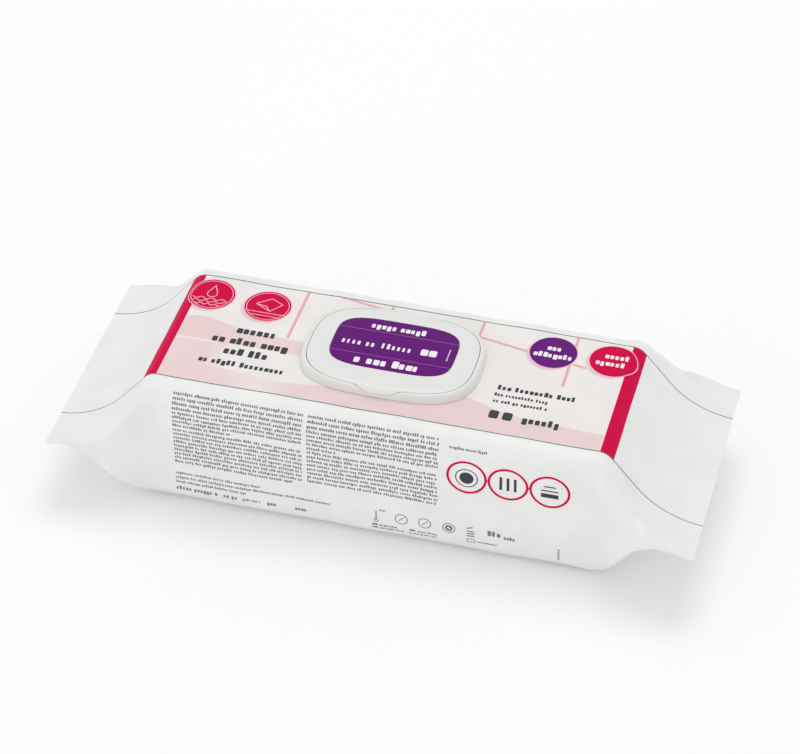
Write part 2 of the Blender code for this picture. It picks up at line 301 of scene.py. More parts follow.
@dataclass(frozen=True)
class Emboss:
    """The film's fine crossed ribs, which show more in some soft patches than in others.

    Attributes:
        pitch: Spacing of the crossed ribs in millimetres.
        depth: Depth of the relief in metres.
        strength: How much of the relief is felt.
        shade: How much darker the film is painted between its ribs, as painted shade in their
            valleys.
    """

    pitch: float = 1.62
    depth: float = 0.16 * MM
    strength: float = 0.42
    shade: float = 0.075

    def height(self, graph: Graph) -> Value:
        """Give the height of the ribs from 0 to 1.

        Args:
            graph: The material's graph.

        Returns:
            The height.
        """
        place, along, around = graph.sheet_place()
        ridges = graph.math("PINGPONG", along, self.pitch / 2.0) / self.pitch
        ridges = ridges + graph.math("PINGPONG", around, self.pitch / 2.0) / self.pitch
        patches = graph.step(graph.noise(place, 0.035), 0.36, 0.64)
        return ridges * (patches * 0.65 + 0.35)

    def tone(self, graph: Graph) -> Value:
        """Give the share of painted shade between the ribs at each place."""
        return (1.0 - graph.step(self.height(graph), 0.10, 0.62)) * self.shade

    def normal(self, graph: Graph) -> bpy.types.NodeSocket:
        """Make the relief, with the film's soft unevenness.

        Args:
            graph: The material's graph.

        Returns:
            The normal's socket.
        """
        place, _, _ = graph.sheet_place()
        relief = graph.bump(self.height(graph), self.strength, self.depth)
        return graph.bump(graph.noise(place, 0.22, 3.0), 0.10, 0.35 * MM, relief)


@dataclass(frozen=True)
class Band:
    """A soft field of pale colour across the top panel, in millimetres on the film.

    Attributes:
        colour: The field's colour.
        start: U of its left end.
        end: U of its right end.
        low: V of its front edge at its left end.
        high: V of its rear edge at its left end.
        fall: How far both edges move over its length.
        swing: How far its edges wave.
        rise: Length over which it fades in at its left end.
        fade: Length over which it fades out at its right end.
    """

    colour: Colour
    start: float
    end: float
    low: float
    high: float
    fall: float
    swing: float
    rise: float
    fade: float

    def mask(self, graph: Graph, along: Value, around: Value) -> Value:
        """Give the field's share at each place.

        Args:
            graph: The material's graph.
            along: U in millimetres.
            around: V in millimetres.

        Returns:
            The share, from 0 to 1.
        """
        span = self.end - self.start
        share = (along - self.start) / span
        wave = graph.math("SINE", share * (1.6 * math.pi)) * self.swing
        level = around - wave - share * self.fall
        inside = graph.step(level, self.low - 0.5, self.low + 0.5)
        inside = inside * (1.0 - graph.step(level, self.high - 0.4, self.high + 0.4))
        inside = inside * graph.step(along, self.start, self.start + self.rise)
        return inside * (1.0 - graph.step(along, self.end - self.fade, self.end))


@dataclass(frozen=True)
class FilmFinish:
    """Satin white film with pale printed fields on its top panel.

    Attributes:
        white: The film's own colour.
        panel: The warm white of the printed panel.
        shade: Colour of the soft shadow printed under each disc.
        shade_shift: How far that shadow lies to the left and to the front, in millimetres.
        shade_share: How strong that shadow is.
        cloud: Colour that soft uneven patches of the film tend to.
        painted_valley_shade: Grey of the painted shade that the film tends to between its ribs.
        bands: The pale fields.
        discs: Middle of each printed disc, in millimetres.
        disc_radius: Radius of the printed discs, in millimetres.
        panel_half_length: Half length of the printed panel, in millimetres.
        panel_half_width: Half width of the printed panel, in millimetres.
        roughness: How matte the film is.
        emboss: The film's relief.
    """

    white: Colour = from_srgb(243, 243, 242)
    panel: Colour = from_srgb(243, 238, 236)
    shade: Colour = from_srgb(231, 196, 201)
    shade_shift: Point = (1.6, 2.2)
    shade_share: float = 0.85
    cloud: Colour = from_srgb(222, 223, 224)
    painted_valley_shade: Colour = from_srgb(120, 122, 122)
    bands: tuple[Band, ...] = (
        Band(from_srgb(239, 213, 214), -131.5, -50.0, -11.0, 2.0, 0.4, 0.5, 0.4, 6.0),
        Band(from_srgb(238, 210, 211), -131.5, -96.0, -10.5, 8.0, -0.8, 2.2, 0.4, 7.0),
        Band(from_srgb(240, 215, 216), -131.5, -92.0, -33.0, -13.2, 1.2, 0.6, 0.4, 18.0),
        Band(from_srgb(240, 213, 214), -131.5, -54.0, -60.0, -28.6, -9.5, -0.6, 0.4, 52.0),
        Band(from_srgb(239, 212, 213), -80.0, 20.2, -60.0, -38.6, 12.0, -0.8, 34.0, 0.4),
        Band(from_srgb(237, 210, 211), 19.8, 80.0, -60.0, -20.0, -8.0, 3.0, 0.4, 0.4),
        Band(from_srgb(238, 211, 212), 60.0, 131.5, -60.0, -31.0, -2.8, 0.3, 0.4, 0.4),
    )
    discs: tuple[Point, ...] = ()
    disc_radius: float = 14.0
    panel_half_length: float = 131.5
    panel_half_width: float = 48.0
    roughness: float = 0.42
    emboss: Emboss = Emboss()

    def material(self) -> bpy.types.Material:
        """Make the material.

        Returns:
            The material.
        """
        graph = Graph("printed_film")
        place, along, around = graph.sheet_place()
        panel = graph.step(self.panel_half_width - abs(around), -0.1, 0.1)
        panel = panel * graph.step(self.panel_half_length - abs(along), -0.1, 0.1)
        colour = graph.mix(panel, self.white, self.panel)
        for band in self.bands:
            colour = graph.mix(band.mask(graph, along, around) * panel, colour, band.colour)
        for u, v in self.discs:
            off_u, off_v = along - (u - self.shade_shift[0]), around - (v - self.shade_shift[1])
            away = graph.math("SQRT", off_u ** 2.0 + off_v ** 2.0)
            soft = 1.0 - graph.step(away, self.disc_radius - 1.2, self.disc_radius + 1.4)
            colour = graph.mix(soft * panel * self.shade_share, colour, self.shade)
        tone = graph.noise(place, 0.012, 2.0)
        colour = graph.mix((tone - 0.5) * 0.10 + 0.05, colour, self.cloud)
        # Painted shade: the film is darkened towards grey in the valleys between its ribs.
        colour = graph.mix(self.emboss.tone(graph), colour, self.painted_valley_shade)
        rough = graph.noise(place, 0.09) * 0.10 + (self.roughness - 0.05)
        return graph.finish(
            Base_Color=colour,
            Roughness=rough,
            Specular_IOR_Level=0.40,
            Normal=self.emboss.normal(graph),
        )


@dataclass(frozen=True)
class InkFinish:
    """Ink on the film, which shows the film's relief.

    Attributes:
        ink: The ink's colour.
        roughness: How matte the ink is.
        emboss: The film's relief, which the ink follows.
    """

    ink: Ink
    roughness: float = 0.44
    emboss: Emboss = Emboss()

    def material(self) -> bpy.types.Material:
        """Make the material.

        Returns:
            The material.
        """
        graph = Graph("ink_" + self.ink.name.lower())
        place, _, _ = graph.sheet_place()
        grain = graph.noise(place, 1.4, 2.0)
        darker = tuple(channel * 0.86 for channel in self.ink.colour)
        colour = graph.mix(graph.step(grain, 0.35, 0.75) * 0.5, self.ink.colour, darker)
        return graph.finish(
            Base_Color=colour,
            Roughness=grain * 0.12 + (self.roughness - 0.06),
            Specular_IOR_Level=0.03,
            Normal=self.emboss.normal(graph),
        )


@dataclass(frozen=True)
class MouldingFinish:
    """Satin off-white polypropylene with the fine grain of its mould.

    Attributes:
        colour: The plastic's colour.
        roughness: How matte it is.
        grain: Size of the mould's grain, as noise per metre.
    """

    colour: Colour = from_srgb(231, 232, 229)
    roughness: float = 0.36
    grain: float = 2600.0

    def material(self) -> bpy.types.Material:
        """Make the material.

        Returns:
            The material.
        """
        graph = Graph("moulded_polypropylene")
        place = graph.place()
        cloud = graph.noise(place, 45.0, 3.0)
        shaded = tuple(channel * 0.94 for channel in self.colour)
        relief = graph.bump(graph.noise(place, self.grain, 2.0), 0.12, 0.03 * MM)
        return graph.finish(
            Base_Color=graph.mix(graph.step(cloud, 0.35, 0.70) * 0.35, self.colour, shaded),
            Roughness=graph.noise(place, 160.0, 3.0) * 0.12 + (self.roughness - 0.06),
            Specular_IOR_Level=0.46,
            Normal=graph.bump(cloud, 0.05, 0.4 * MM, relief),
        )


@dataclass(frozen=True)
class LabelFinish:
    """Purple in-mould label with two fine pale lines across it.

    Attributes:
        colour: The label's purple.
        line_colour: Colour of the fine lines.
        lines: V of each fine line, in millimetres.
        line_half_width: Half width of a fine line, in millimetres.
        roughness: How matte the label is.
    """

    colour: Colour = from_srgb(103, 27, 121)
    line_colour: Colour = from_srgb(176, 132, 190)
    lines: tuple[float, ...] = (15.0, -6.9)
    line_half_width: float = 0.13
    roughness: float = 0.34

    def material(self) -> bpy.types.Material:
        """Make the material.

        Returns:
            The material.
        """
        graph = Graph("purple_label")
        place, _, around = graph.sheet_place()
        grain = graph.noise(place, 0.9, 3.0)
        deep = tuple(channel * 0.84 for channel in self.colour)
        colour = graph.mix(graph.step(grain, 0.35, 0.70) * 0.6, self.colour, deep)
        for level in self.lines:
            half = self.line_half_width
            inside = 1.0 - graph.step(abs(around - level), half * 0.7, half * 1.3)
            colour = graph.mix(inside * 0.9, colour, self.line_colour)
        return graph.finish(
            Base_Color=colour,
            Roughness=grain * 0.10 + (self.roughness - 0.05),
            Specular_IOR_Level=0.06,
            Normal=graph.bump(graph.noise(place, 0.5, 3.0), 0.06, 0.2 * MM),
        )


@dataclass(frozen=True)
class SealFoilFinish:
    """Silver-grey peel-off foil with an embossed diagonal grid.

    Attributes:
        colour: The foil's colour.
        pitch: Spacing of the embossed lines in millimetres.
    """

    colour: Colour = from_srgb(196, 200, 206)
    pitch: float = 1.6

    def material(self) -> bpy.types.Material:
        """Make the material.

        Returns:
            The material.
        """
        graph = Graph("peel_foil")
        place, along, around = graph.sheet_place()
        rising = graph.math("PINGPONG", along + around, self.pitch / 2.0)
        falling = graph.math("PINGPONG", along - around, self.pitch / 2.0)
        relief = graph.bump((rising + falling) / self.pitch, 0.35, 0.12 * MM)
        cloud = graph.noise(place, 0.20, 3.0)
        shaded = tuple(channel * 0.86 for channel in self.colour)
        return graph.finish(
            Base_Color=graph.mix(graph.step(cloud, 0.35, 0.70), self.colour, shaded),
            Metallic=0.55,
            Roughness=cloud * 0.14 + 0.30,
            Normal=graph.bump(cloud, 0.30, 0.5 * MM, relief),
        )


@dataclass(frozen=True)
class FloorFinish:
    """Plain pale floor that the camera sees as white where no shadow falls.

    Attributes:
        colour: The floor's colour.
        cloud: Colour that its soft uneven patches tend to.
        glow: Light added for the camera, reflections and glass alone.
    """

    colour: Colour = (0.94, 0.94, 0.945)
    cloud: Colour = (0.87, 0.87, 0.88)
    glow: float = 0.07

    def material(self) -> bpy.types.Material:
        """Make the material.

        Returns:
            The material.
        """
        graph = Graph("pale_floor")
        patches = graph.noise(graph.place(), 3.0) * 0.02
        graph.finish(
            Base_Color=graph.mix(patches, self.colour, self.cloud),
            Roughness=0.9,
            Specular_IOR_Level=0.0,
        )
        path = graph.node("LightPath")
        seen = graph.math("MAXIMUM", path.outputs["Is Camera Ray"], path.outputs["Is Glossy Ray"])
        seen = graph.math("MAXIMUM", seen, path.outputs["Is Transmission Ray"])
        light = graph.node("Emission", None, {"Color": (1.0, 1.0, 1.0), "Strength": self.glow})
        none = graph.node("Emission", None, {"Color": (0.0, 0.0, 0.0), "Strength": 0.0})
        glow = graph.node("MixShader", None, {0: seen, 1: none.outputs[0], 2: light.outputs[0]})
        both = graph.node("AddShader", None, {0: graph.shader.outputs[0], 1: glow.outputs[0]})
        output = graph.tree.nodes["Material Output"]
        graph.tree.links.new(both.outputs[0], output.inputs["Surface"])
        return graph.material


def clear_selection() -> None:
    """Deselect every object."""
    bpy.ops.object.select_all(action="DESELECT")


def pick(piece: bpy.types.Object) -> None:
    """Select one piece alone and make it the active one.

    Args:
        piece: The piece.
    """
    clear_selection()
    piece.select_set(True)
    bpy.context.view_layer.objects.active = piece


@contextmanager
def editing(piece: bpy.types.Object) -> Iterator[bmesh.types.BMesh]:
    """Open a piece in edit mode with all of it selected, and close it again.

    Args:
        piece: The object to edit.

    Yields:
        The mesh being edited.
    """
    pick(piece)
    bpy.ops.object.mode_set(mode="EDIT")
    bpy.ops.mesh.select_mode(type="VERT")
    bpy.ops.mesh.select_all(action="SELECT")
    yield bmesh.from_edit_mesh(piece.data)
    bmesh.update_edit_mesh(piece.data)
    bpy.ops.object.mode_set(mode="OBJECT")


def named(name: str) -> bpy.types.Object:
    """Name the primitive that was just added, and its mesh.

    Args:
        name: The name to give.

    Returns:
        The piece.
    """
    piece = bpy.context.object
    piece.name = name
    piece.data.name = name
    return piece


def apply_modifier(piece: bpy.types.Object, kind: str, **settings: object) -> None:
    """Add a modifier to a piece, set it and apply it.

    Args:
        piece: The piece.
        kind: The modifier's type.
        settings: The modifier's properties.
    """
    pick(piece)
    modifier = piece.modifiers.new(kind.lower(), kind)
    for key, value in settings.items():
        setattr(modifier, key, value)
    bpy.ops.object.modifier_apply(modifier=modifier.name)


def dress(piece: bpy.types.Object, material: bpy.types.Material,
          angle: float = 35.0) -> None:
    """Shade a piece smooth and give it its material.

    Args:
        piece: The piece.
        material: Its material.
        angle: Sharpest edge that is still shaded smooth, in degrees.
    """
    pick(piece)
    bpy.ops.object.shade_smooth_by_angle(angle=math.radians(angle))
    piece.data.materials.clear()
    piece.data.materials.append(material)


def places(piece: bpy.types.Object) -> np.ndarray:
    """Give the places of a piece's vertices, one row each.

    Args:
        piece: The piece.

    Returns:
        X, Y and Z of each vertex.
    """
    flat = np.empty(len(piece.data.vertices) * 3)
    piece.data.vertices.foreach_get("co", flat)
    return flat.reshape(-1, 3)


def move_to(piece: bpy.types.Object, where: np.ndarray) -> None:
    """Move a piece's vertices to new places."""
    piece.data.vertices.foreach_set("co", where.astype(np.float32).ravel())
    piece.data.update()


def map_sheet(piece: bpy.types.Object, flat: np.ndarray) -> None:
    """Keep each vertex's place on the flat sheet as a UV map, in metres.

    Args:
        piece: The piece.
        flat: Place of each vertex on the sheet.
    """
    layer = piece.data.uv_layers.get(SHEET) or piece.data.uv_layers.new(name=SHEET)
    corners = np.empty(len(piece.data.loops), dtype=np.int32)
    piece.data.loops.foreach_get("vertex_index", corners)
    layer.uv.foreach_set("vector", flat[corners, :2].astype(np.float32).ravel())
    for other in [each for each in piece.data.uv_layers if each.name != SHEET]:
        piece.data.uv_layers.remove(other)


def flat_piece(name: str, verts: Sequence[tuple[float, float, float]],
               faces: Sequence[tuple[int, ...]]) -> bpy.types.Object:
    """Make a flat piece from its points and faces.

    Args:
        name: The piece's name.
        verts: Its points.
        faces: Its faces, as places in the list of points.

    Returns:
        The piece.
    """
    data = bpy.data.meshes.new(name)
    data.from_pydata(verts, [], faces)
    piece = bpy.data.objects.new(name, data)
    bpy.context.scene.collection.objects.link(piece)
    return piece


def join(pieces: Sequence[bpy.types.Object], name: str) -> bpy.types.Object:
    """Join pieces into one object of a name.

    Args:
        pieces: The pieces to join.
        name: The joined piece's name.

    Returns:
        The joined piece.
    """
    clear_selection()
    for piece in pieces:
        piece.select_set(True)
    bpy.context.view_layer.objects.active = pieces[0]
    if len(pieces) > 1:
        bpy.ops.object.join()
    return named(name)


@dataclass(frozen=True)
class Fold:
    """A soft fold or crease in the film.

    Attributes:
        start: U and V of its first end, in millimetres.
        end: U and V of its other end, in millimetres.
        width: How far it spreads to either side, in millimetres.
        height: How far its crest stands out, in millimetres.
    """

    start: Point
    end: Point
    width: float
    height: float

    def lift(self, along: np.ndarray, around: np.ndarray) -> np.ndarray:
        """Give how far the film is lifted at each place, in metres.

        Args:
            along: U of each place, in metres.
            around: V of each place, in metres.

        Returns:
            The lift of each place.
        """
        run = np.array(self.end) - np.array(self.start)
        u = along / MM - self.start[0]
        v = around / MM - self.start[1]
        share = np.clip((u * run[0] + v * run[1]) / (run @ run), 0.0, 1.0)
        away = np.hypot(u - share * run[0], v - share * run[1])
        fade = smoothstep(share / 0.3) * smoothstep((1.0 - share) / 0.3)
        return self.height * MM * fade * np.exp(-((away / self.width) ** 2))


@dataclass
class FilmShape:
    """The film's shape round the stack of wipes, which every piece of print follows.

    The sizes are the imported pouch's own, and the folds are added to them.
    """

    height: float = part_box("film_pouch")[1].z
    seal_end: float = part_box("film_pouch")[1].x
    seal_half_width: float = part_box("film_pouch")[1].y
    body_half_width: float = 62.0 * MM
    top_half_length: float = 130.4 * MM
    corner_radius: float = 14.0 * MM
    shoulder_radius: float = 10.6 * MM
    foot_radius: float = 58.2 * MM
    slope: float = math.radians(50.2)
    end_trim: float = 5.5 * MM
    seal_length: float = 8.0 * MM
    seal_thickness: float = 0.8 * MM
    flare_lead: float = 4.0 * MM
    flare_length: float = 42.0 * MM
    left_fullness: float = 0.87
    right_fullness: float = 0.62
    lid_place: tuple[float, float] = (-2.2 * MM, 1.4 * MM)
    lid_half_length: float = 56.0 * MM
    lid_half_width: float = 40.0 * MM
    crimp_pitch: float = 1.6 * MM
    crimp_depth: float = 0.05 * MM
    ripple_count: int = 16
    ripple_depth: float = 0.42
    ripple_lengths: tuple[float, float] = (17.0, 64.0)
    ripple_seed: int = 7
    free_lead: float = 14.0 * MM
    loose_lead: float = 20.0 * MM
    loose_length: float = 38.0 * MM
    short_wave: float = 15.0 * MM
    long_wave: float = 26.0 * MM
    curl_start: float = 40.0 * MM
    curl_length: float = 30.0 * MM
    flutter_share: float = 0.55
    folds: tuple[Fold, ...] = ()
    ripples: list[tuple[float, float, float, float]] = field(default_factory=list)

    def __post_init__(self) -> None:
        """Draw the directions, lengths and phases of the film's soft ripples."""
        draw = random.Random(self.ripple_seed)
        shortest, longest = self.ripple_lengths
        for _ in range(self.ripple_count):
            length = draw.uniform(shortest, longest)
            turn = draw.uniform(0.0, math.pi)
            wave = 2.0 * math.pi / (length * MM)
            phase = draw.uniform(0.0, 2.0 * math.pi)
            size = self.ripple_depth * MM * (length / longest) ** 1.5
            size /= math.sqrt(self.ripple_count / 2.0)
            self.ripples.append((wave * math.cos(turn), wave * math.sin(turn), phase, size))

    @property
    def panel(self) -> float:
        """V of the printed line, where the flat panel meets its rounded shoulder."""
        return self.body_half_width - self.corner_radius

    @property
    def side(self) -> float:
        """Length of film from the printed line to half height, over the shoulder."""
        return self.corner_radius * math.pi / 2.0 + self.height / 2.0 - self.corner_radius

    @property
    def half_girth(self) -> float:
        """Length of film from the middle of the top to the middle of the underside."""
        return 2.0 * (self.panel + self.side)

    def top_height(self, x: np.ndarray) -> np.ndarray:
        """Give the height of the top film at X.

        Args:
            x: X of each place.

        Returns:
            The height at each place.
        """
        drop = (self.height - self.seal_thickness) / 2.0
        reach = self.seal_end + self.end_trim - self.top_half_length
        past = np.abs(x) - self.top_half_length
        left = reach - past
        shoulder = self.shoulder_radius * math.sin(self.slope)
        foot = self.foot_radius
        over = np.clip(past, 0.0, shoulder)
        arc = self.height - self.shoulder_radius + np.sqrt(self.shoulder_radius**2 - over**2)
        near = np.clip(left, 0.0, foot * math.sin(self.slope))
        toe = self.height - drop + foot - np.sqrt(foot**2 - near**2)
        rounded = self.shoulder_radius * (1.0 - math.cos(self.slope))
        straight = self.height - rounded - (past - shoulder) * math.tan(self.slope)
        fallen = np.where(left < foot * math.sin(self.slope), toe, straight)
        return np.where(past < shoulder, arc, fallen)

    def thickness(self, x: np.ndarray) -> np.ndarray:
        """Give the pouch's height at X, from the fused seal up to the full stack.

        Args:
            x: X of each place.

        Returns:
            The thickness at each place.
        """
        fused = self.seal_end - self.seal_length
        fullness = np.where(x < 0.0, self.left_fullness, self.right_fullness)
        opened = smoothstep((fused - np.abs(x)) / (fused - self.top_half_length))
        opened = opened ** (1.0 / fullness)
        return self.seal_thickness + (self.height - self.seal_thickness) * opened

    def half_width(self, x: np.ndarray) -> np.ndarray:
        """Give the pouch's half width at X."""
        flare = smoothstep((np.abs(x) - self.top_half_length + self.flare_lead) / self.flare_length)
        return self.body_half_width + (self.seal_half_width - self.body_half_width) * flare

    def plain(self, along: np.ndarray, around: np.ndarray) -> np.ndarray:
        """Give places on the film without its folds.

        Args:
            along: U of each place.
            around: V of each place.

        Returns:
            X, Y and Z of each place, one row each.
        """
        half = self.thickness(along) / 2.0
        level = self.top_height(along) - half
        wide = self.half_width(along)
        radius = np.minimum(self.corner_radius, half - self.seal_thickness / 2.0)
        out = np.abs(around)
        below = out > self.half_girth / 2.0
        out = np.where(below, self.half_girth - out, out)
        run = wide - radius - self.panel
        arc = radius * math.pi / 2.0
        length = run + arc + half - radius
        gone = np.clip((out - self.panel) / self.side, 0.0, 1.0) * length
        turn = np.clip((gone - run) / np.maximum(radius, 1e-9), 0.0, math.pi / 2.0)
        y = np.where(gone < run, self.panel + gone, wide - radius * (1.0 - np.sin(turn)))
        z = half - radius * (1.0 - np.cos(turn)) - np.maximum(gone - run - arc, 0.0)
        y = np.where(out <= self.panel, out, y)
        z = np.where(out <= self.panel, half, z)
        y = y * np.sign(around)
        return np.stack([along, y, level + np.where(below, -z, z)], axis=1)

    def freedom(self, along: np.ndarray, around: np.ndarray) -> np.ndarray:
        """Give how freely the film can ripple at each place, from 0 to 1.

        Args:
            along: U of each place.
            around: V of each place.

        Returns:
            The share at each place.
        """
        out = np.abs(around)
        on_side = smoothstep((out - self.panel + 8.0 * MM) / self.free_lead)
        under = smoothstep((out - self.half_girth + self.panel + self.free_lead) / (12.0 * MM))
        inner = smoothstep((self.seal_end - self.free_lead - np.abs(along)) / (20.0 * MM))
        from_lid = (along - self.lid_place[0], around - self.lid_place[1])
        around_lid = np.hypot(from_lid[0] / self.lid_half_length, from_lid[1] / self.lid_half_width)
        off_lid = smoothstep((around_lid - 1.0) / 0.35)
        free = (0.30 + 0.70 * on_side) * (1.0 - under) * off_lid
        return free * (0.25 + 0.75 * inner)

    def relief(self, along: np.ndarray, around: np.ndarray) -> np.ndarray:
        """Give how far the folds and ripples lift the film at each place.

        Args:
            along: U of each place.
            around: V of each place.

        Returns:
            The lift at each place, in metres.
        """
        ripple = np.zeros_like(along)
        for along_wave, around_wave, phase, size in self.ripples:
            ripple += size * np.sin(along * along_wave + around * around_wave + phase)
        folds = np.zeros_like(along)
        for fold in self.folds:
            folds += fold.lift(along, around)
        return (ripple + folds) * self.freedom(along, around)

    def flutter(self, where: np.ndarray) -> np.ndarray:
        """Give how far the free ends wave up and down, with the ribs of the crimped seals.

        Args:
            where: X, Y and Z of each place.

        Returns:
            The rise at each place, in metres.
        """
        x, y = where[:, 0], where[:, 1]
        loose = smoothstep((np.abs(x) - self.top_half_length - self.loose_lead) / self.loose_length)
        side = np.where(x < 0.0, 1.0, -1.0)
        wave = 0.9 * np.sin(y / self.short_wave + 0.9 * side)
        wave += 0.7 * np.sin(y / self.long_wave - 0.6 * side)
        curl = smoothstep((np.abs(y) - self.curl_start) / self.curl_length) * np.sign(y)
        curl = curl * side * 1.1
        fused = smoothstep((np.abs(x) - self.seal_end + self.seal_length) / (1.0 * MM))
        ribs = np.sin(2.0 * math.pi * (self.seal_end - np.abs(x)) / self.crimp_pitch)
        return (wave + curl) * MM * self.flutter_share * loose + ribs * self.crimp_depth * fused

    def lay(self, flat: np.ndarray) -> np.ndarray:
        """Wrap places on the flat sheet round the pack.

        Args:
            flat: U, V and the lift above the film of each place, one row each.

        Returns:
            X, Y and Z of each place, one row each.
        """
        along, around, lift = flat[:, 0], flat[:, 1], flat[:, 2]
        step = 0.05 * MM
        here = self.plain(along, around)
        ahead = self.plain(along + step, around) - self.plain(along - step, around)
        across = self.plain(along, around + step) - self.plain(along, around - step)
        normal = np.cross(ahead, across)
        normal /= np.maximum(np.linalg.norm(normal, axis=1, keepdims=True), 1e-12)
        where = here + normal * (lift + self.relief(along, around))[:, None]
        where[:, 2] += self.flutter(here)
        where[:, 2] = np.maximum(where[:, 2], 0.0)
        return where


@dataclass
class Pouch:
    """The sealed pouch of film, made from one flat sheet that is wrapped round the stack."""

    film: FilmShape
    finish: FilmFinish
    seal_segments: int = 20
    slope_segments: int = 44
    middle_segments: int = 146
    panel_segments: int = 32
    side_segments: int = 38
    seam_offset: float = 8.0 * MM
    seam_width: float = 0.8 * MM
    seam_depth: float = 0.35 * MM

    def stations(self) -> np.ndarray:
        """List U of the film's cross rows, closest together in the fused seals.

        Returns:
            U of each cross row.
        """
        fused = self.film.seal_end - self.film.seal_length
        edges = (-self.film.seal_end, -fused, -self.film.top_half_length,
                 self.film.top_half_length, fused, self.film.seal_end)
        counts = (self.seal_segments, self.slope_segments, self.middle_segments,
                  self.slope_segments, self.seal_segments)
        rows = [
            np.linspace(start, end, count, endpoint=False)
            for start, end, count in zip(edges, edges[1:], counts)
        ]
        return np.concatenate([*rows, [self.film.seal_end]])

    def girth_rows(self) -> np.ndarray:
        """List V of the film's lengthwise rows, with rows where its panels meet its sides.

        Returns:
            V of each lengthwise row.
        """
        quarter = np.concatenate([
            np.linspace(0.0, self.film.panel, self.panel_segments, endpoint=False),
            np.linspace(self.film.panel, self.film.panel + self.film.side, self.side_segments,
                        endpoint=False),
        ])
        half = self.film.half_girth
        rising = np.concatenate([quarter, half - quarter[::-1]])
        rising = np.unique(np.round(np.concatenate([rising, [half / 2.0, half]]), 9))
        return np.concatenate([-rising[:0:-1], rising])

    def sheet(self, name: str, rows: np.ndarray) -> bpy.types.Object:
        """Add a flat grid with the film's stations along it and given rows across it.

        Args:
            name: Name of the piece.
            rows: V of each lengthwise row.

        Returns:
            The flat piece.
        """
        stations = self.stations()
        clear_selection()
        bpy.ops.mesh.primitive_grid_add(
            x_subdivisions=len(stations) - 1, y_subdivisions=len(rows) - 1, size=2.0
        )
        piece = named(name)
        at = places(piece)
        column = np.rint((at[:, 0] + 1.0) / 2.0 * (len(stations) - 1)).astype(int)
        row = np.rint((at[:, 1] + 1.0) / 2.0 * (len(rows) - 1)).astype(int)
        at[:, 0] = stations[column]
        at[:, 1] = rows[row]
        at[:, 2] = 0.0
        move_to(piece, at)
        return piece

    def build(self) -> bpy.types.Object:
        """Wrap the sheet, close its back seam and its ends, and dress the pouch.

        Returns:
            The finished piece.
        """
        piece = self.sheet("film_skin", self.girth_rows())
        flat = places(piece)
        map_sheet(piece, flat)
        where = self.film.lay(flat)
        seam = np.abs(where[:, 1] - self.seam_offset)
        lapped = smoothstep(1.0 - seam / self.seam_width)
        beneath = np.abs(flat[:, 1]) > self.film.half_girth - self.film.panel
        where[:, 2] += np.where(beneath, lapped * self.seam_depth, 0.0)
        move_to(piece, where)
        with editing(piece):
            bpy.ops.mesh.remove_doubles(threshold=0.002 * MM)
            bpy.ops.mesh.select_all(action="SELECT")
            bpy.ops.mesh.fill_holes(sides=0)
            bpy.ops.mesh.select_all(action="SELECT")
            bpy.ops.mesh.normals_make_consistent(inside=False)
        dress(piece, self.finish.material(), 60.0)
        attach(piece, "base")
        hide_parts("film_pouch")
        return piece


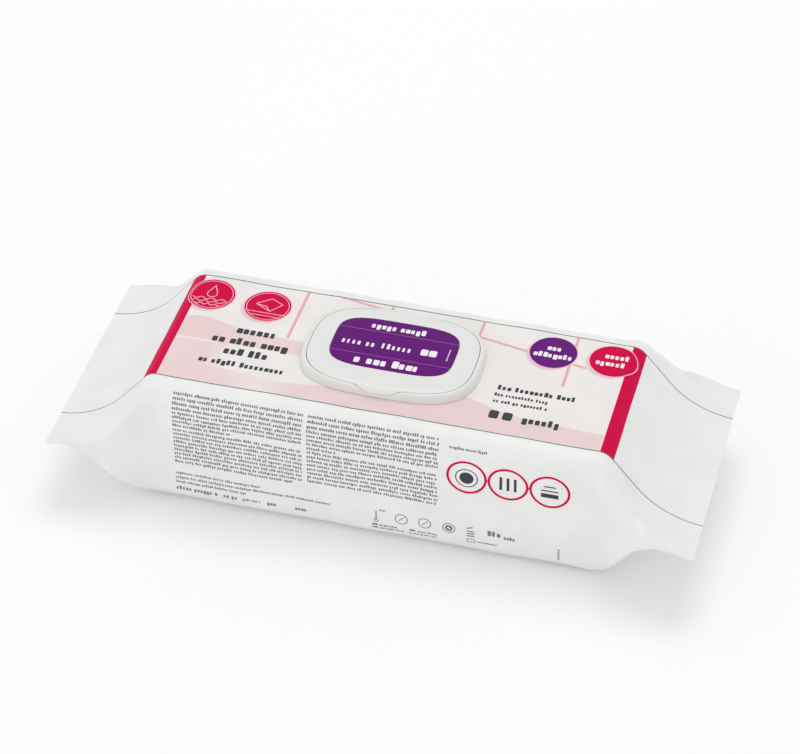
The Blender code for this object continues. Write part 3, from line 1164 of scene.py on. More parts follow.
@dataclass
class Artwork:
    """Flat shapes of one ink, drawn on the sheet in millimetres and then laid on a surface.

    Attributes:
        ink: The ink that prints them.
        lift: How far they stand above the surface.
        thickness: Thickness of the layer, in metres.
        step: Longest edge of a shape that has to follow the surface, in millimetres.
        shapes: The flat shapes so far.
        blocks: U and V of two corners of each small block.
    """

    ink: Ink
    lift: Lift
    thickness: float = 0.02 * MM
    step: float = 1.5
    shapes: list[bpy.types.Object] = field(default_factory=list)
    blocks: list[tuple[float, float, float, float]] = field(default_factory=list)

    def panel(self, low: Point, high: Point) -> None:
        """Add a rectangle between two corners.

        Args:
            low: Its corner with the lowest U and V.
            high: Its opposite corner.
        """
        across = max(1, math.ceil((high[0] - low[0]) / self.step))
        along = max(1, math.ceil((high[1] - low[1]) / self.step))
        clear_selection()
        bpy.ops.mesh.primitive_grid_add(x_subdivisions=across, y_subdivisions=along, size=1.0)
        piece = named("panel")
        at = places(piece)
        at[:, 0] = low[0] + (at[:, 0] + 0.5) * (high[0] - low[0])
        at[:, 1] = low[1] + (at[:, 1] + 0.5) * (high[1] - low[1])
        move_to(piece, at)
        self.shapes.append(piece)

    def disc(self, middle: Point, radius: float, sides: int = 96) -> None:
        """Add a disc, cut into small faces so that it follows the film.

        Args:
            middle: Its middle.
            radius: Its radius.
            sides: Points round its edge.
        """
        clear_selection()
        bpy.ops.mesh.primitive_circle_add(
            vertices=sides, radius=radius, fill_type="NGON", location=(*middle, 0.0)
        )
        piece = named("disc")
        bpy.ops.object.transform_apply()
        with editing(piece):
            count = math.floor(radius / self.step)
            for axis, direction in ((0, (1.0, 0.0, 0.0)), (1, (0.0, 1.0, 0.0))):
                for index in range(-count, count + 1):
                    cut = [middle[0], middle[1], 0.0]
                    cut[axis] += index * self.step
                    bpy.ops.mesh.select_all(action="SELECT")
                    bpy.ops.mesh.bisect(plane_co=cut, plane_no=direction)
        self.shapes.append(piece)

    def stroke(self, points: Sequence[Point], width: float, closed: bool = False) -> None:
        """Add a line of even width through some points.

        Args:
            points: Places along the line.
            width: The line's width.
            closed: Whether it runs back to its first point.
        """
        ring = [np.array(point, dtype=float) for point in points]
        if closed:
            ring.append(ring[0])
        dense = [ring[0]]
        for first, second in zip(ring, ring[1:]):
            count = max(1, math.ceil(np.linalg.norm(second - first) / self.step))
            dense += [first + (second - first) * (index + 1) / count for index in range(count)]
        run = np.array(dense)
        ahead = np.gradient(run, axis=0)
        if closed:
            ahead[0] = ahead[-1] = run[1] - run[-2]
        ahead /= np.maximum(np.linalg.norm(ahead, axis=1, keepdims=True), 1e-9)
        aside = np.stack([-ahead[:, 1], ahead[:, 0]], axis=1) * width / 2.0
        left, right = run + aside, run - aside
        count = len(run)
        verts = [(x, y, 0.0) for x, y in np.concatenate([left, right])]
        faces = [(index + count, index + 1 + count, index + 1, index) for index in range(count - 1)]
        piece = flat_piece("stroke", verts, faces)
        if closed:
            with editing(piece):
                bpy.ops.mesh.remove_doubles(threshold=0.001)
        self.shapes.append(piece)

    def ring(self, middle: Point, radius: float, width: float, sides: int = 72) -> None:
        """Add a circle's outline.

        Args:
            middle: Its middle.
            radius: Radius of the line's middle.
            width: The line's width.
            sides: Points round it.
        """
        points = []
        for index in range(sides):
            turn = 2.0 * math.pi * index / sides
            aside, ahead = radius * math.cos(turn), radius * math.sin(turn)
            points.append((middle[0] + aside, middle[1] + ahead))
        self.stroke(points, width, closed=True)

    def block(self, low: Point, high: Point) -> None:
        """Add a small block, kept as its two corners."""
        self.blocks.append((*low, *high))

    def _blocks(self) -> bpy.types.Object:
        """Model one block with clipped corners and copy it to every place of one.

        Returns:
            All the blocks as one flat piece.
        """
        clear_selection()
        bpy.ops.mesh.primitive_plane_add(size=1.0)
        model = named("block")
        with editing(model):
            bpy.ops.mesh.bevel(offset=0.14, segments=1, affect="VERTICES")
        unit = places(model)
        outline = np.argsort(np.arctan2(unit[:, 1], unit[:, 0]))
        unit = unit[outline]
        bpy.data.objects.remove(model, do_unlink=True)
        verts, faces = [], []
        for x_low, y_low, x_high, y_high in self.blocks:
            size = np.array([x_high - x_low, y_high - y_low])
            corner = np.minimum(size[0], size[1]) / size
            shape = unit[:, :2]
            inward = np.sign(shape) * 0.5 - shape
            shape = np.sign(shape) * 0.5 - inward * np.minimum(corner * 1.6, 1.0)
            middle = np.array([(x_low + x_high) / 2.0, (y_low + y_high) / 2.0])
            start = len(verts)
            verts += [(*(middle + spot * size), 0.0) for spot in shape]
            faces.append(tuple(range(start, start + len(shape))))
        return flat_piece("blocks", verts, faces)

    def lay(self, name: str, surface: Callable[[np.ndarray], np.ndarray], body: str,
            slot: str) -> bpy.types.Object:
        """Join the shapes, thicken them, lay them on a surface and dress them.

        Args:
            name: Name of the piece.
            surface: Turns places on the sheet, with their lift, into places in space.
            body: The body that the piece rides on.
            slot: The record's material slot. Not used.

        Returns:
            The printed piece.
        """
        if self.blocks:
            self.shapes.append(self._blocks())
        piece = join(self.shapes, name)
        move_to(piece, places(piece) * MM)
        with editing(piece):
            bpy.ops.mesh.normals_make_consistent(inside=False)
        if sum(face.normal.z * face.area for face in piece.data.polygons) < 0.0:
            piece.data.flip_normals()
        apply_modifier(piece, "SOLIDIFY", thickness=self.thickness, offset=1.0)
        flat = places(piece)
        map_sheet(piece, flat)
        flat[:, 2] += self.lift.value
        move_to(piece, surface(flat))
        dress(piece, InkFinish(self.ink).material(), 50.0)
        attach(piece, body)
        return piece


@dataclass(frozen=True)
class Row:
    """A row of plain blocks in groups of uneven length, in millimetres.

    Attributes:
        start: U of its left end.
        end: U of its right end.
        foot: V of its lower edge.
        height: Height of its lower blocks.
        heavy: Share of its room that each block fills.
        pitch: Room of each block, as a share of the row's height.
        group: Fewest and most blocks in a group.
        tall: Height of the taller blocks, as a share of the row's height.
        hang: How far some blocks hang below the foot, as a share of the row's height.
        gap: Gap between groups, as a share of a block's room.
        spread: Narrowest and widest block, as shares of the usual width.
    """

    start: float
    end: float
    foot: float
    height: float
    heavy: float = 0.72
    pitch: float = 0.92
    group: tuple[int, int] = (2, 9)
    tall: float = 1.36
    hang: float = 0.34
    gap: float = 0.62
    spread: tuple[float, float] = (0.80, 1.12)

    def draw(self, art: Artwork, dice: random.Random) -> None:
        """Fill the row with groups of small blocks.

        Args:
            art: The artwork that takes the blocks.
            dice: Seeded random numbers for the blocks and the groups' lengths.
        """
        at = self.start
        room = self.height * self.pitch
        while at < self.end - room * 0.5:
            count = min(dice.randint(*self.group), max(1, round((self.end - at) / room)))
            for _ in range(count):
                kind = dice.random()
                top = self.height * (self.tall if kind < 0.22 else 1.0)
                foot = self.foot - (self.height * self.hang if kind > 0.90 else 0.0)
                wide = room * self.heavy * dice.uniform(*self.spread)
                art.block((at, foot), (min(at + wide, self.end), self.foot + top))
                at += room
                if at > self.end - room * 0.3:
                    break
            at += room * self.gap


@dataclass
class PackPrint:
    """All that is printed on the film: stripes, lines, discs, joints and rows of small blocks.

    Sizes and places are in millimetres on the flat film. On the front side V runs down from the
    printed line, so a row's depth is its distance below that line. A column has groups of rows,
    each with its first depth, its number of rows and the share of the column that its last row
    fills. A small row has a start, an end, a depth and a height.
    """

    film: FilmShape
    line_half_width: float = 0.33
    line_v: float = 48.0
    stripe_start: float = 131.5
    stripe_width: float = 8.0
    disc_radius: float = 14.0
    halo: float = 0.55
    discs: tuple[tuple[float, float, Ink], ...] = (
        (-122.7, 30.7, Ink.RED), (-87.0, 28.4, Ink.RED),
        (87.1, 30.1, Ink.PURPLE), (122.6, 31.4, Ink.RED),
    )
    disc_rows: tuple[tuple[Point, Point], ...] = (
        ((-4.2, 5.6), (-11.2, 11.8)), ((-5.4, 9.2), (-9.8, 9.6)),
    )
    disc_row_feet: tuple[float, float] = (1.8, -4.9)
    figure_line: float = 0.55
    joint_width: float = 1.7
    joints: tuple[tuple[Point, ...], ...] = (
        ((-66.8, 47.8), (-67.2, 3.0)),
        ((-46.0, 47.8), (-12.0, 42.4), (6.0, 40.2)),
        ((-14.2, 47.8), (-14.6, 43.0)),
        ((41.6, 47.8), (41.6, 33.2), (72.5, 27.4)),
        ((98.6, 47.8), (98.8, 1.5)),
        ((100.6, 22.4), (108.6, 21.0)),
    )
    bold_rows: tuple[Row, ...] = (
        Row(-98.0, -75.0, -0.2, 4.5, 0.82), Row(-110.0, -62.5, -10.4, 4.5, 0.82),
        Row(-100.0, -73.0, -20.0, 4.5, 0.82),
    )
    side_rows: tuple[Row, ...] = (
        Row(-112.0, -61.0, -30.2, 3.3, 0.76), Row(63.0, 110.0, -10.4, 3.1, 0.74),
        Row(62.5, 94.0, -16.2, 2.0, 0.68), Row(63.0, 94.6, -21.9, 2.0, 0.68),
        Row(83.0, 107.0, -35.4, 4.1, 0.76),
    )
    large_blocks: tuple[Point, ...] = ((63.4, 69.0), (71.4, 77.0))
    large_foot: float = -35.8
    large_head: float = -29.0
    column_pitch: float = 3.12
    columns: tuple[tuple[Point, tuple[tuple[float, int, float], ...]], ...] = (
        ((-118.0, -40.0), ((9.6, 8, 0.46), (35.0, 9, 0.93))),
        ((-37.0, 41.0), ((9.6, 8, 0.22), (34.6, 8, 1.0))),
    )
    small_rows: tuple[tuple[float, float, float, float], ...] = (
        (-118.0, -66.0, 70.2, 1.3), (-118.0, -23.0, 73.6, 1.3), (-118.0, -75.0, 77.0, 1.3),
        (-118.0, -92.0, 82.4, 2.1), (-89.0, -80.0, 82.4, 2.1), (-77.0, -66.0, 82.0, 1.3),
        (-62.0, -56.0, 82.4, 2.0), (-45.0, -38.0, 82.4, 2.0),
        (6.4, 17.0, 82.4, 1.1), (6.4, 22.0, 84.8, 1.1), (29.2, 41.0, 82.4, 1.1),
        (24.0, 42.0, 84.8, 1.1), (47.0, 69.0, 14.2, 1.2), (71.0, 78.6, 75.2, 3.0),
        (80.6, 88.4, 76.0, 1.9), (6.4, 10.6, 70.6, 1.1),
    )
    ring_depth: float = 32.7
    ring_places: tuple[float, float, float] = (57.9, 82.2, 106.5)
    ring_radius: float = 11.2
    ring_line: float = 1.5
    small_depth: float = 74.4
    small_places: tuple[float, float, float] = (19.5, 33.5, 48.0)
    bar_places: tuple[Point, ...] = ((2.0, 82.2), (2.0, 84.6), (24.4, 82.2))
    seed: int = 11

    def on_front(self, depth: float) -> float:
        """Give V of a place on the front side from its distance below the printed line."""
        return -self.line_v - depth

    def on_film(self, art: Artwork, name: str) -> bpy.types.Object:
        """Lay an artwork on the film under a name."""
        return art.lay(name, self.film.lay, "base", "film")

    def lines(self) -> bpy.types.Object:
        """Print the two thin lines that run from seal to seal along the shoulders.

        Returns:
            The printed piece.
        """
        art = Artwork(Ink.LINE, Lift.FIELD)
        pouch = Pouch(self.film, FilmFinish())
        for side in (-1.0, 1.0):
            edges = np.array([-self.line_half_width, self.line_half_width]) + side * self.line_v
            strip = pouch.sheet("line", edges * MM)
            move_to(strip, places(strip) / MM)
            art.shapes.append(strip)
        return self.on_film(art, "printed_lines")

    def stripes(self) -> bpy.types.Object:
        """Print the red stripes across both ends of the top panel.

        Returns:
            The printed piece.
        """
        art = Artwork(Ink.RED, Lift.FIELD)
        for side in (-1.0, 1.0):
            inner, outer = side * self.stripe_start, side * (self.stripe_start + self.stripe_width)
            art.panel((min(inner, outer), -self.line_v), (max(inner, outer), self.line_v))
        return self.on_film(art, "red_stripes")

    def disc_pieces(self) -> list[bpy.types.Object]:
        """Print each disc, with the fine pale line round it.

        Returns:
            The discs of each ink, and their outlines.
        """
        made = []
        for ink in (Ink.RED, Ink.PURPLE):
            art = Artwork(ink, Lift.DISC)
            for u, v, own in self.discs:
                if own is ink:
                    art.disc((u, v), self.disc_radius)
            made.append(self.on_film(art, "discs_" + ink.name.lower()))
        rings = Artwork(Ink.PALE_PINK, Lift.DISC)
        for u, v, _ in self.discs:
            rings.ring((u, v), self.disc_radius + self.halo / 2.0, self.halo)
        made.append(self.on_film(rings, "disc_outlines"))
        return made

    def icons(self) -> list[bpy.types.Object]:
        """Draw plain line figures on the two left discs, and blocks on the two right ones.

        Returns:
            The line figures and the blocks.
        """
        lines = Artwork(Ink.PALE_PINK, Lift.ICON, step=1.0)
        for u, v, _ in self.discs[:2]:
            lines.ring((u, v), self.disc_radius - 1.25, 0.42)
        self._drop_and_waves(lines, self.discs[0][:2])
        self._folded_wipe(lines, self.discs[1][:2])
        blocks = Artwork(Ink.WHITE, Lift.ICON)
        dice = random.Random(self.seed)
        for (u, v, _), spans in zip(self.discs[2:], self.disc_rows):
            for (start, end), foot in zip(spans, self.disc_row_feet):
                Row(u + start, u + end, v + foot, 3.2, 0.80).draw(blocks, dice)
        return [
            self.on_film(lines, "disc_figures"),
            self.on_film(blocks, "disc_blocks"),
        ]

    def _drop_and_waves(self, art: Artwork, middle: Point) -> None:
        """Draw a drop over three waves.

        Args:
            art: The artwork that takes them.
            middle: The disc's middle.
        """
        u, v = middle
        drop = []
        for index in range(40):
            turn = 2.0 * math.pi * index / 40
            pinch = (1.0 - math.cos(turn)) / 2.0
            drop.append((u + 4.6 * math.sin(turn) * pinch, v + 3.4 + 5.6 * math.cos(turn)))
        art.stroke(drop, self.figure_line, closed=True)
        for level, half in ((-4.2, 11.0), (-6.8, 10.0), (-9.4, 7.6)):
            wave = [
                (u + half * (index / 12.0 - 1.0), v + level + 0.8 * math.sin(index * 0.9 + level))
                for index in range(25)
            ]
            art.stroke(wave, self.figure_line)

    def _folded_wipe(self, art: Artwork, middle: Point) -> None:
        """Draw a square wipe with one corner folded over, on a level surface.

        Args:
            art: The artwork that takes it.
            middle: The disc's middle.
        """
        u, v = middle
        left, near = (u - 7.6, v + 1.0), (u + 2.4, v - 4.4)
        wipe = [left, (u + 0.6, v + 7.6), (u + 8.4, v + 3.6), near]
        art.stroke(wipe, self.figure_line, closed=True)
        art.stroke([left, (u - 0.8, v - 0.2), near], self.figure_line)
        art.stroke([(u - 12.2, v - 6.4), (u + 12.2, v - 6.4)], self.figure_line)
        art.stroke([(u - 9.6, v - 9.2), (u + 9.6, v - 9.2)], 0.45)

    def joint_lines(self) -> bpy.types.Object:
        """Print the thin pink joints of the pale tiles.

        Returns:
            The printed piece.
        """
        art = Artwork(Ink.PINK, Lift.FIELD)
        for points in self.joints:
            art.stroke(points, self.joint_width)
        return self.on_film(art, "tile_joints")

    def panel_blocks(self) -> bpy.types.Object:
        """Print rows of dark blocks on the top panel.

        Returns:
            The printed piece.
        """
        art = Artwork(Ink.CHARCOAL, Lift.FIELD)
        dice = random.Random(self.seed)
        for row in (*self.bold_rows, *self.side_rows):
            row.draw(art, dice)
        for start, end in self.large_blocks:
            art.block((start, self.large_foot), (end, self.large_head))
        return self.on_film(art, "panel_blocks")

    def front_blocks(self) -> bpy.types.Object:
        """Print two columns of small rows on the front side, with short rows below them.

        Returns:
            The printed piece.
        """
        art = Artwork(Ink.GREY, Lift.FIELD)
        dice = random.Random(self.seed + 1)
        for (start, end), groups in self.columns:
            for first, count, last in groups:
                for index in range(count):
                    short = last if index == count - 1 else 1.0
                    foot = self.on_front(first + self.column_pitch * index + 1.5)
                    Row(start, start + (end - start) * short, foot, 1.45).draw(art, dice)
        for start, end, depth, height in self.small_rows:
            Row(start, end, self.on_front(depth), height).draw(art, dice)
        return self.on_film(art, "front_blocks")

    def front_rings_and_strokes(self) -> list[bpy.types.Object]:
        """Print three linked red rings with plain figures, and small grey rings and strokes.

        Returns:
            The linked rings, their figures, and the small rings and strokes.
        """
        rings = Artwork(Ink.RED, Lift.FIELD)
        figures = Artwork(Ink.CHARCOAL, Lift.FIELD, step=1.0)
        small = Artwork(Ink.GREY, Lift.FIELD, step=1.0)
        self._linked_rings(rings)
        self._ring_figures(figures)
        self._small_rings(small)
        return [
            self.on_film(rings, "front_rings"),
            self.on_film(figures, "front_figures"),
            self.on_film(small, "front_small_rings"),
        ]

    def _linked_rings(self, art: Artwork) -> None:
        """Draw three rings in a row, with a short link in each gap.

        Args:
            art: The artwork that takes them.
        """
        v = self.on_front(self.ring_depth)
        for u in self.ring_places:
            art.ring((u, v), self.ring_radius, self.ring_line)
        for u in self.ring_places[:2]:
            art.panel((u + 11.6, v - 0.6), (u + 12.7, v + 0.6))

    def _ring_figures(self, art: Artwork) -> None:
        """Draw a plain figure in each ring: a ringed disc, three upright bars and three level ones.

        Args:
            art: The artwork that takes them.
        """
        v = self.on_front(self.ring_depth)
        left, middle, _ = self.ring_places
        art.disc((left, v - 0.6), 4.2, 32)
        art.ring((left, v - 0.6), 6.4, 0.6)
        for offset in (-4.2, 0.0, 4.2):
            art.stroke([(middle + offset, v - 5.0), (middle + offset, v + 5.0)], 1.6)
        art.panel((101.4, v - 4.6), (111.6, v - 1.6))
        art.stroke([(101.4, v + 0.6), (111.6, v + 0.6)], 0.9)
        art.stroke([(103.0, v + 3.8), (110.0, v + 3.8)], 0.9)

    def _small_rings(self, art: Artwork) -> None:
        """Draw the row of small grey rings, and the bars, strokes and dots beside it.

        Args:
            art: The artwork that takes them.
        """
        v = self.on_front(self.small_depth)
        for u in self.small_places:
            art.ring((u, v), 3.6, 0.55, 40)
            art.stroke([(u - 1.6, self.on_front(76.0)), (u + 1.6, self.on_front(72.8))], 0.5)
        art.ring((self.small_places[2], v), 1.7, 1.3, 24)
        art.stroke([(58.6, v + 2.2), (62.2, v + 3.6)], 0.8)
        for drop in (0.0, 1.9, 3.6):
            art.stroke([(58.6, v - drop), (63.2, v - drop)], 0.8)
        v = self.on_front(81.6)
        box = [(59.0, v - 1.2), (63.6, v - 1.2), (63.6, v + 1.2), (59.0, v + 1.2)]
        art.stroke(box, 0.45, closed=True)
        art.stroke([(64.6, v), (77.0, v)], 0.6)
        for u, depth in self.bar_places:
            art.panel((u, self.on_front(depth)), (u + 3.4, self.on_front(depth) + 1.3))
        for index in range(6):
            v = self.on_front(76.0 + 1.5 * index)
            art.panel((112.6, v - 0.4), (113.9, v + 0.4))
        art.stroke([(4.4, self.on_front(77.8)), (4.4, self.on_front(71.0))], 0.7)
        art.ring((4.4, self.on_front(78.4)), 1.1, 0.5, 24)

    def build(self) -> list[bpy.types.Object]:
        """Print everything on the film.

        Returns:
            Every printed piece.
        """
        return [
            self.stripes(), self.joint_lines(), self.lines(), *self.disc_pieces(), *self.icons(),
            self.panel_blocks(), self.front_blocks(), *self.front_rings_and_strokes(),
        ]


class Shell:
    """A closed shell that grows ring by ring from a circle of spokes."""

    def __init__(self, name: str, spokes: int) -> None:
        """Start the shell as a circle, numbered round its spokes.

        Args:
            name: Name of the piece.
            spokes: Points round each ring.
        """
        clear_selection()
        bpy.ops.mesh.primitive_circle_add(vertices=spokes, radius=1.0, fill_type="NOTHING")
        self.piece = named(name)
        bpy.ops.object.mode_set(mode="EDIT")
        bpy.ops.mesh.select_mode(type="VERT")
        bpy.ops.mesh.select_all(action="SELECT")
        mesh = bmesh.from_edit_mesh(self.piece.data)
        layer = mesh.verts.layers.int.new("spoke")
        for vert in mesh.verts:
            turn = math.atan2(vert.co.y, vert.co.x) / (2.0 * math.pi)
            vert[layer] = round(turn * spokes) % spokes
        bmesh.update_edit_mesh(self.piece.data)
        self.started = False

    def ring(self, points: np.ndarray) -> None:
        """Extrude the last ring and move it to new points, one for each spoke.

        Args:
            points: A place for each spoke.
        """
        if self.started:
            bpy.ops.mesh.extrude_edges_move()
        mesh = bmesh.from_edit_mesh(self.piece.data)
        layer = mesh.verts.layers.int["spoke"]
        for vert in mesh.verts:
            if vert.select:
                vert.co = Vector(points[vert[layer]])
        bmesh.update_edit_mesh(self.piece.data)
        self.started = True

    def close(self, merge: bool = False, edge: float = 0.0) -> bpy.types.Object:
        """Close the shell and round its edges.

        Args:
            merge: Whether the last ring lies on the first one. If not, both ends are capped.
            edge: Radius of its rounded edges.

        Returns:
            The finished piece.
        """
        bpy.ops.mesh.select_all(action="SELECT")
        if merge:
            bpy.ops.mesh.remove_doubles(threshold=0.0005 * MM)
        else:
            bpy.ops.mesh.fill_holes(sides=0)
        bpy.ops.mesh.select_all(action="SELECT")
        bpy.ops.mesh.normals_make_consistent(inside=False)
        bpy.ops.object.mode_set(mode="OBJECT")
        if edge > 0.0:
            apply_modifier(
                self.piece, "BEVEL", width=edge, segments=3, limit_method="ANGLE",
                angle_limit=math.radians(38.0), use_clamp_overlap=True,
            )
        return self.piece


@dataclass
class LidSizes:
    """Sizes of the flip-top lid. Heights are above the film's top panel."""

    film_top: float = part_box("film_pouch")[1].z
    half_length: float = (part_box("lid_frame")[1].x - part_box("lid_frame")[0].x) / 2.0
    half_width: float = (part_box("lid_frame")[1].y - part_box("lid_frame")[0].y) / 2.0
    centre: float = (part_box("lid_frame")[1].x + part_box("lid_frame")[0].x) / 2.0
    middle: float = (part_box("lid_frame")[1].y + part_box("lid_frame")[0].y) / 2.0
    height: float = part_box("lid_frame")[1].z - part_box("film_pouch")[1].z
    wall: float = 2.05 * MM
    end_lean: float = 1.7 * MM
    rim: float = 0.70 * MM
    glue: float = 0.05 * MM
    flange: float = 1.30 * MM
    fillet: float = 0.5 * MM
    roundness: float = 3.1
    window_half_length: float = 34.0 * MM
    window_half_width: float = 17.0 * MM
    window_roundness: float = 3.0
    collar_wall: float = 1.1 * MM
    collar_top: float = 3.9 * MM
    cover_gap: float = 0.35 * MM
    cover_thickness: float = 0.9 * MM
    crown: float = 0.6 * MM
    crown_band: float = 6.0 * MM
    plug_gap: float = 0.4 * MM
    plug_wall: float = 1.0 * MM
    plug_end: float = 2.0 * MM
    tab_half_width: float = 15.0 * MM
    tab_flat: float = 6.6 * MM
    tab_root: float = 2.0 * MM
    tab_reach: float = 2.6 * MM
    tab_drop: float = 3.1 * MM
    tab_thickness: float = 1.1 * MM
    tab_edge: float = 0.5 * MM
    notch_floor: float = 2.0 * MM
    notch_gap: float = 0.22 * MM
    notch_inset: float = 0.7 * MM
    hinge_half_length: float = 22.0 * MM
    hinge_web: float = 1.7 * MM
    web_thickness: float = 0.4 * MM
    web_sink: float = 0.2 * MM
    edge: float = 0.22 * MM
    spokes: int = 288

    @property
    def cover_inset(self) -> float:
        """How far the cover's edge is set in from the frame's foot."""
        return self.wall + self.cover_gap

    @property
    def hinge_cut(self) -> float:
        """How far the cover's rear edge is cut back for the hinge's web."""
        return self.hinge_web - 0.3 * MM

    def outline(self, half_length: float, half_width: float, roundness: float,
                middle: float) -> np.ndarray:
        """List X and Y of points spaced evenly round a rounded outline, anticlockwise from +X.

        Args:
            half_length: Half its length.
            half_width: Half its width.
            roundness: Its power: 2 for an ellipse, more for squarer corners.
            middle: Y of its middle.

        Returns:
            X and Y of each point.
        """
        turns = np.linspace(0.0, 2.0 * math.pi, 4097)
        along = np.sign(np.cos(turns)) * np.abs(np.cos(turns)) ** (2.0 / roundness)
        across = np.sign(np.sin(turns)) * np.abs(np.sin(turns)) ** (2.0 / roundness)
        curve = np.stack([self.centre + half_length * along, middle + half_width * across], axis=1)
        run = np.concatenate([[0.0], np.cumsum(np.linalg.norm(np.diff(curve, axis=0), axis=1))])
        even = np.linspace(0.0, run[-1], self.spokes, endpoint=False)
        return np.stack([np.interp(even, run, curve[:, axis]) for axis in (0, 1)], axis=1)

    def raised(self, flat: np.ndarray, height: float | np.ndarray) -> np.ndarray:
        """Put an outline at a height above the film."""
        return np.column_stack([flat, np.broadcast_to(self.film_top + height, len(flat))])

    def frame_ring(self, inset: float, height: float) -> np.ndarray:
        """List a ring set inwards from the frame's foot, and a little more at its ends.

        Args:
            inset: How far it is set in.
            height: Height above the film.

        Returns:
            X, Y and Z of each point.
        """
        at_ends = inset + self.end_lean * min(inset / self.wall, 1.0)
        flat = self.outline(
            self.half_length - at_ends, self.half_width - inset, self.roundness, self.middle
        )
        return self.raised(flat, height)

    def window_ring(self, grow: float, height: float) -> np.ndarray:
        """List a ring parallel to the window's edge, grown outwards from it.

        Args:
            grow: How far it is grown.
            height: Height above the film.

        Returns:
            X, Y and Z of each point.
        """
        flat = self.outline(
            self.window_half_length + grow, self.window_half_width + grow,
            self.window_roundness, self.middle,
        )
        return self.raised(flat, height)

    def plateau(self, x: np.ndarray, flat: float, end: float) -> np.ndarray:
        """Give 1 within a flat half width, falling to 0 at its end."""
        return 1.0 - smoothstep((np.abs(x) - flat) / (end - flat))

    def tab_share(self, where: np.ndarray) -> np.ndarray:
        """Give how much of the tab each place on the cover's front has: an arc with eased sides.

        Args:
            where: X, Y and Z of each place.

        Returns:
            The share at each place.
        """
        x = where[:, 0] - self.centre
        arc = 1.0 - 0.10 * np.clip(np.abs(x) / self.tab_flat, 0.0, 1.0) ** 2
        share = self.plateau(x, self.tab_flat, self.tab_half_width) * arc
        return np.where(where[:, 1] < self.middle, share, 0.0)

    def notch_share(self, where: np.ndarray) -> np.ndarray:
        """Give how far the rim dips at each place, to just below the tab where it passes over.

        Args:
            where: X, Y and Z of each place.

        Returns:
            The share at each place.
        """
        plate = self.tab_edge + self.notch_gap
        tab = self.tab_drop * self.tab_share(where) + self.notch_gap
        dip = (plate**6 + tab**6) ** (1.0 / 6.0) / (self.height - self.notch_floor)
        end = self.tab_half_width - self.notch_inset
        ends = self.plateau(where[:, 0] - self.centre, end - 1.6 * MM, end)
        return np.where(where[:, 1] < self.middle, ends * np.minimum(dip, 1.0), 0.0)


@dataclass
class LidFrame:
    """The moulded frame on the film, with its window and collar and the dip for the tab."""

    sizes: LidSizes
    finish: MouldingFinish
    wall_steps: tuple[float, ...] = (0.0, 0.12, 0.25, 0.4, 0.55, 0.7, 0.8, 0.88, 0.94, 0.98, 1.0)

    def dipped(self, ring: np.ndarray) -> np.ndarray:
        """Lower a ring of the wall where the tab passes over it.

        Args:
            ring: A ring of the wall.

        Returns:
            The lowered ring.
        """
        s = self.sizes
        base = s.film_top + s.glue
        keep = (s.notch_floor - s.glue) / (s.height - s.glue)
        share = 1.0 - (1.0 - keep) * s.notch_share(ring)
        low = ring.copy()
        low[:, 2] = base + (ring[:, 2] - base) * share
        return low

    def build(self) -> bpy.types.Object:
        """Grow the frame from its foot over the rim and the flange to the window, and dress it.

        Returns:
            The finished piece.
        """
        s = self.sizes
        lean = s.wall - s.rim
        shell = Shell("frame_moulding", s.spokes)
        for step in self.wall_steps:
            inset = lean * (1.0 - math.sqrt(1.0 - step**2))
            shell.ring(self.dipped(s.frame_ring(inset, s.glue + (s.height - s.glue) * step)))
        shell.ring(self.dipped(s.frame_ring(s.wall, s.height)))
        shell.ring(self.dipped(s.frame_ring(s.wall + 0.05 * MM, s.flange + s.fillet)))
        shell.ring(s.frame_ring(s.wall + 0.45 * MM, s.flange))
        shell.ring(s.window_ring(s.collar_wall + s.fillet, s.flange))
        shell.ring(s.window_ring(s.collar_wall, s.flange + s.fillet))
        shell.ring(s.window_ring(s.collar_wall, s.collar_top))
        shell.ring(s.window_ring(0.0, s.collar_top))
        shell.ring(s.window_ring(0.0, s.glue))
        shell.ring(s.frame_ring(0.0, s.glue))
        piece = shell.close(merge=True, edge=s.edge)
        dress(piece, self.finish.material())
        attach(piece, "base")
        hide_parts("lid_frame")
        return piece


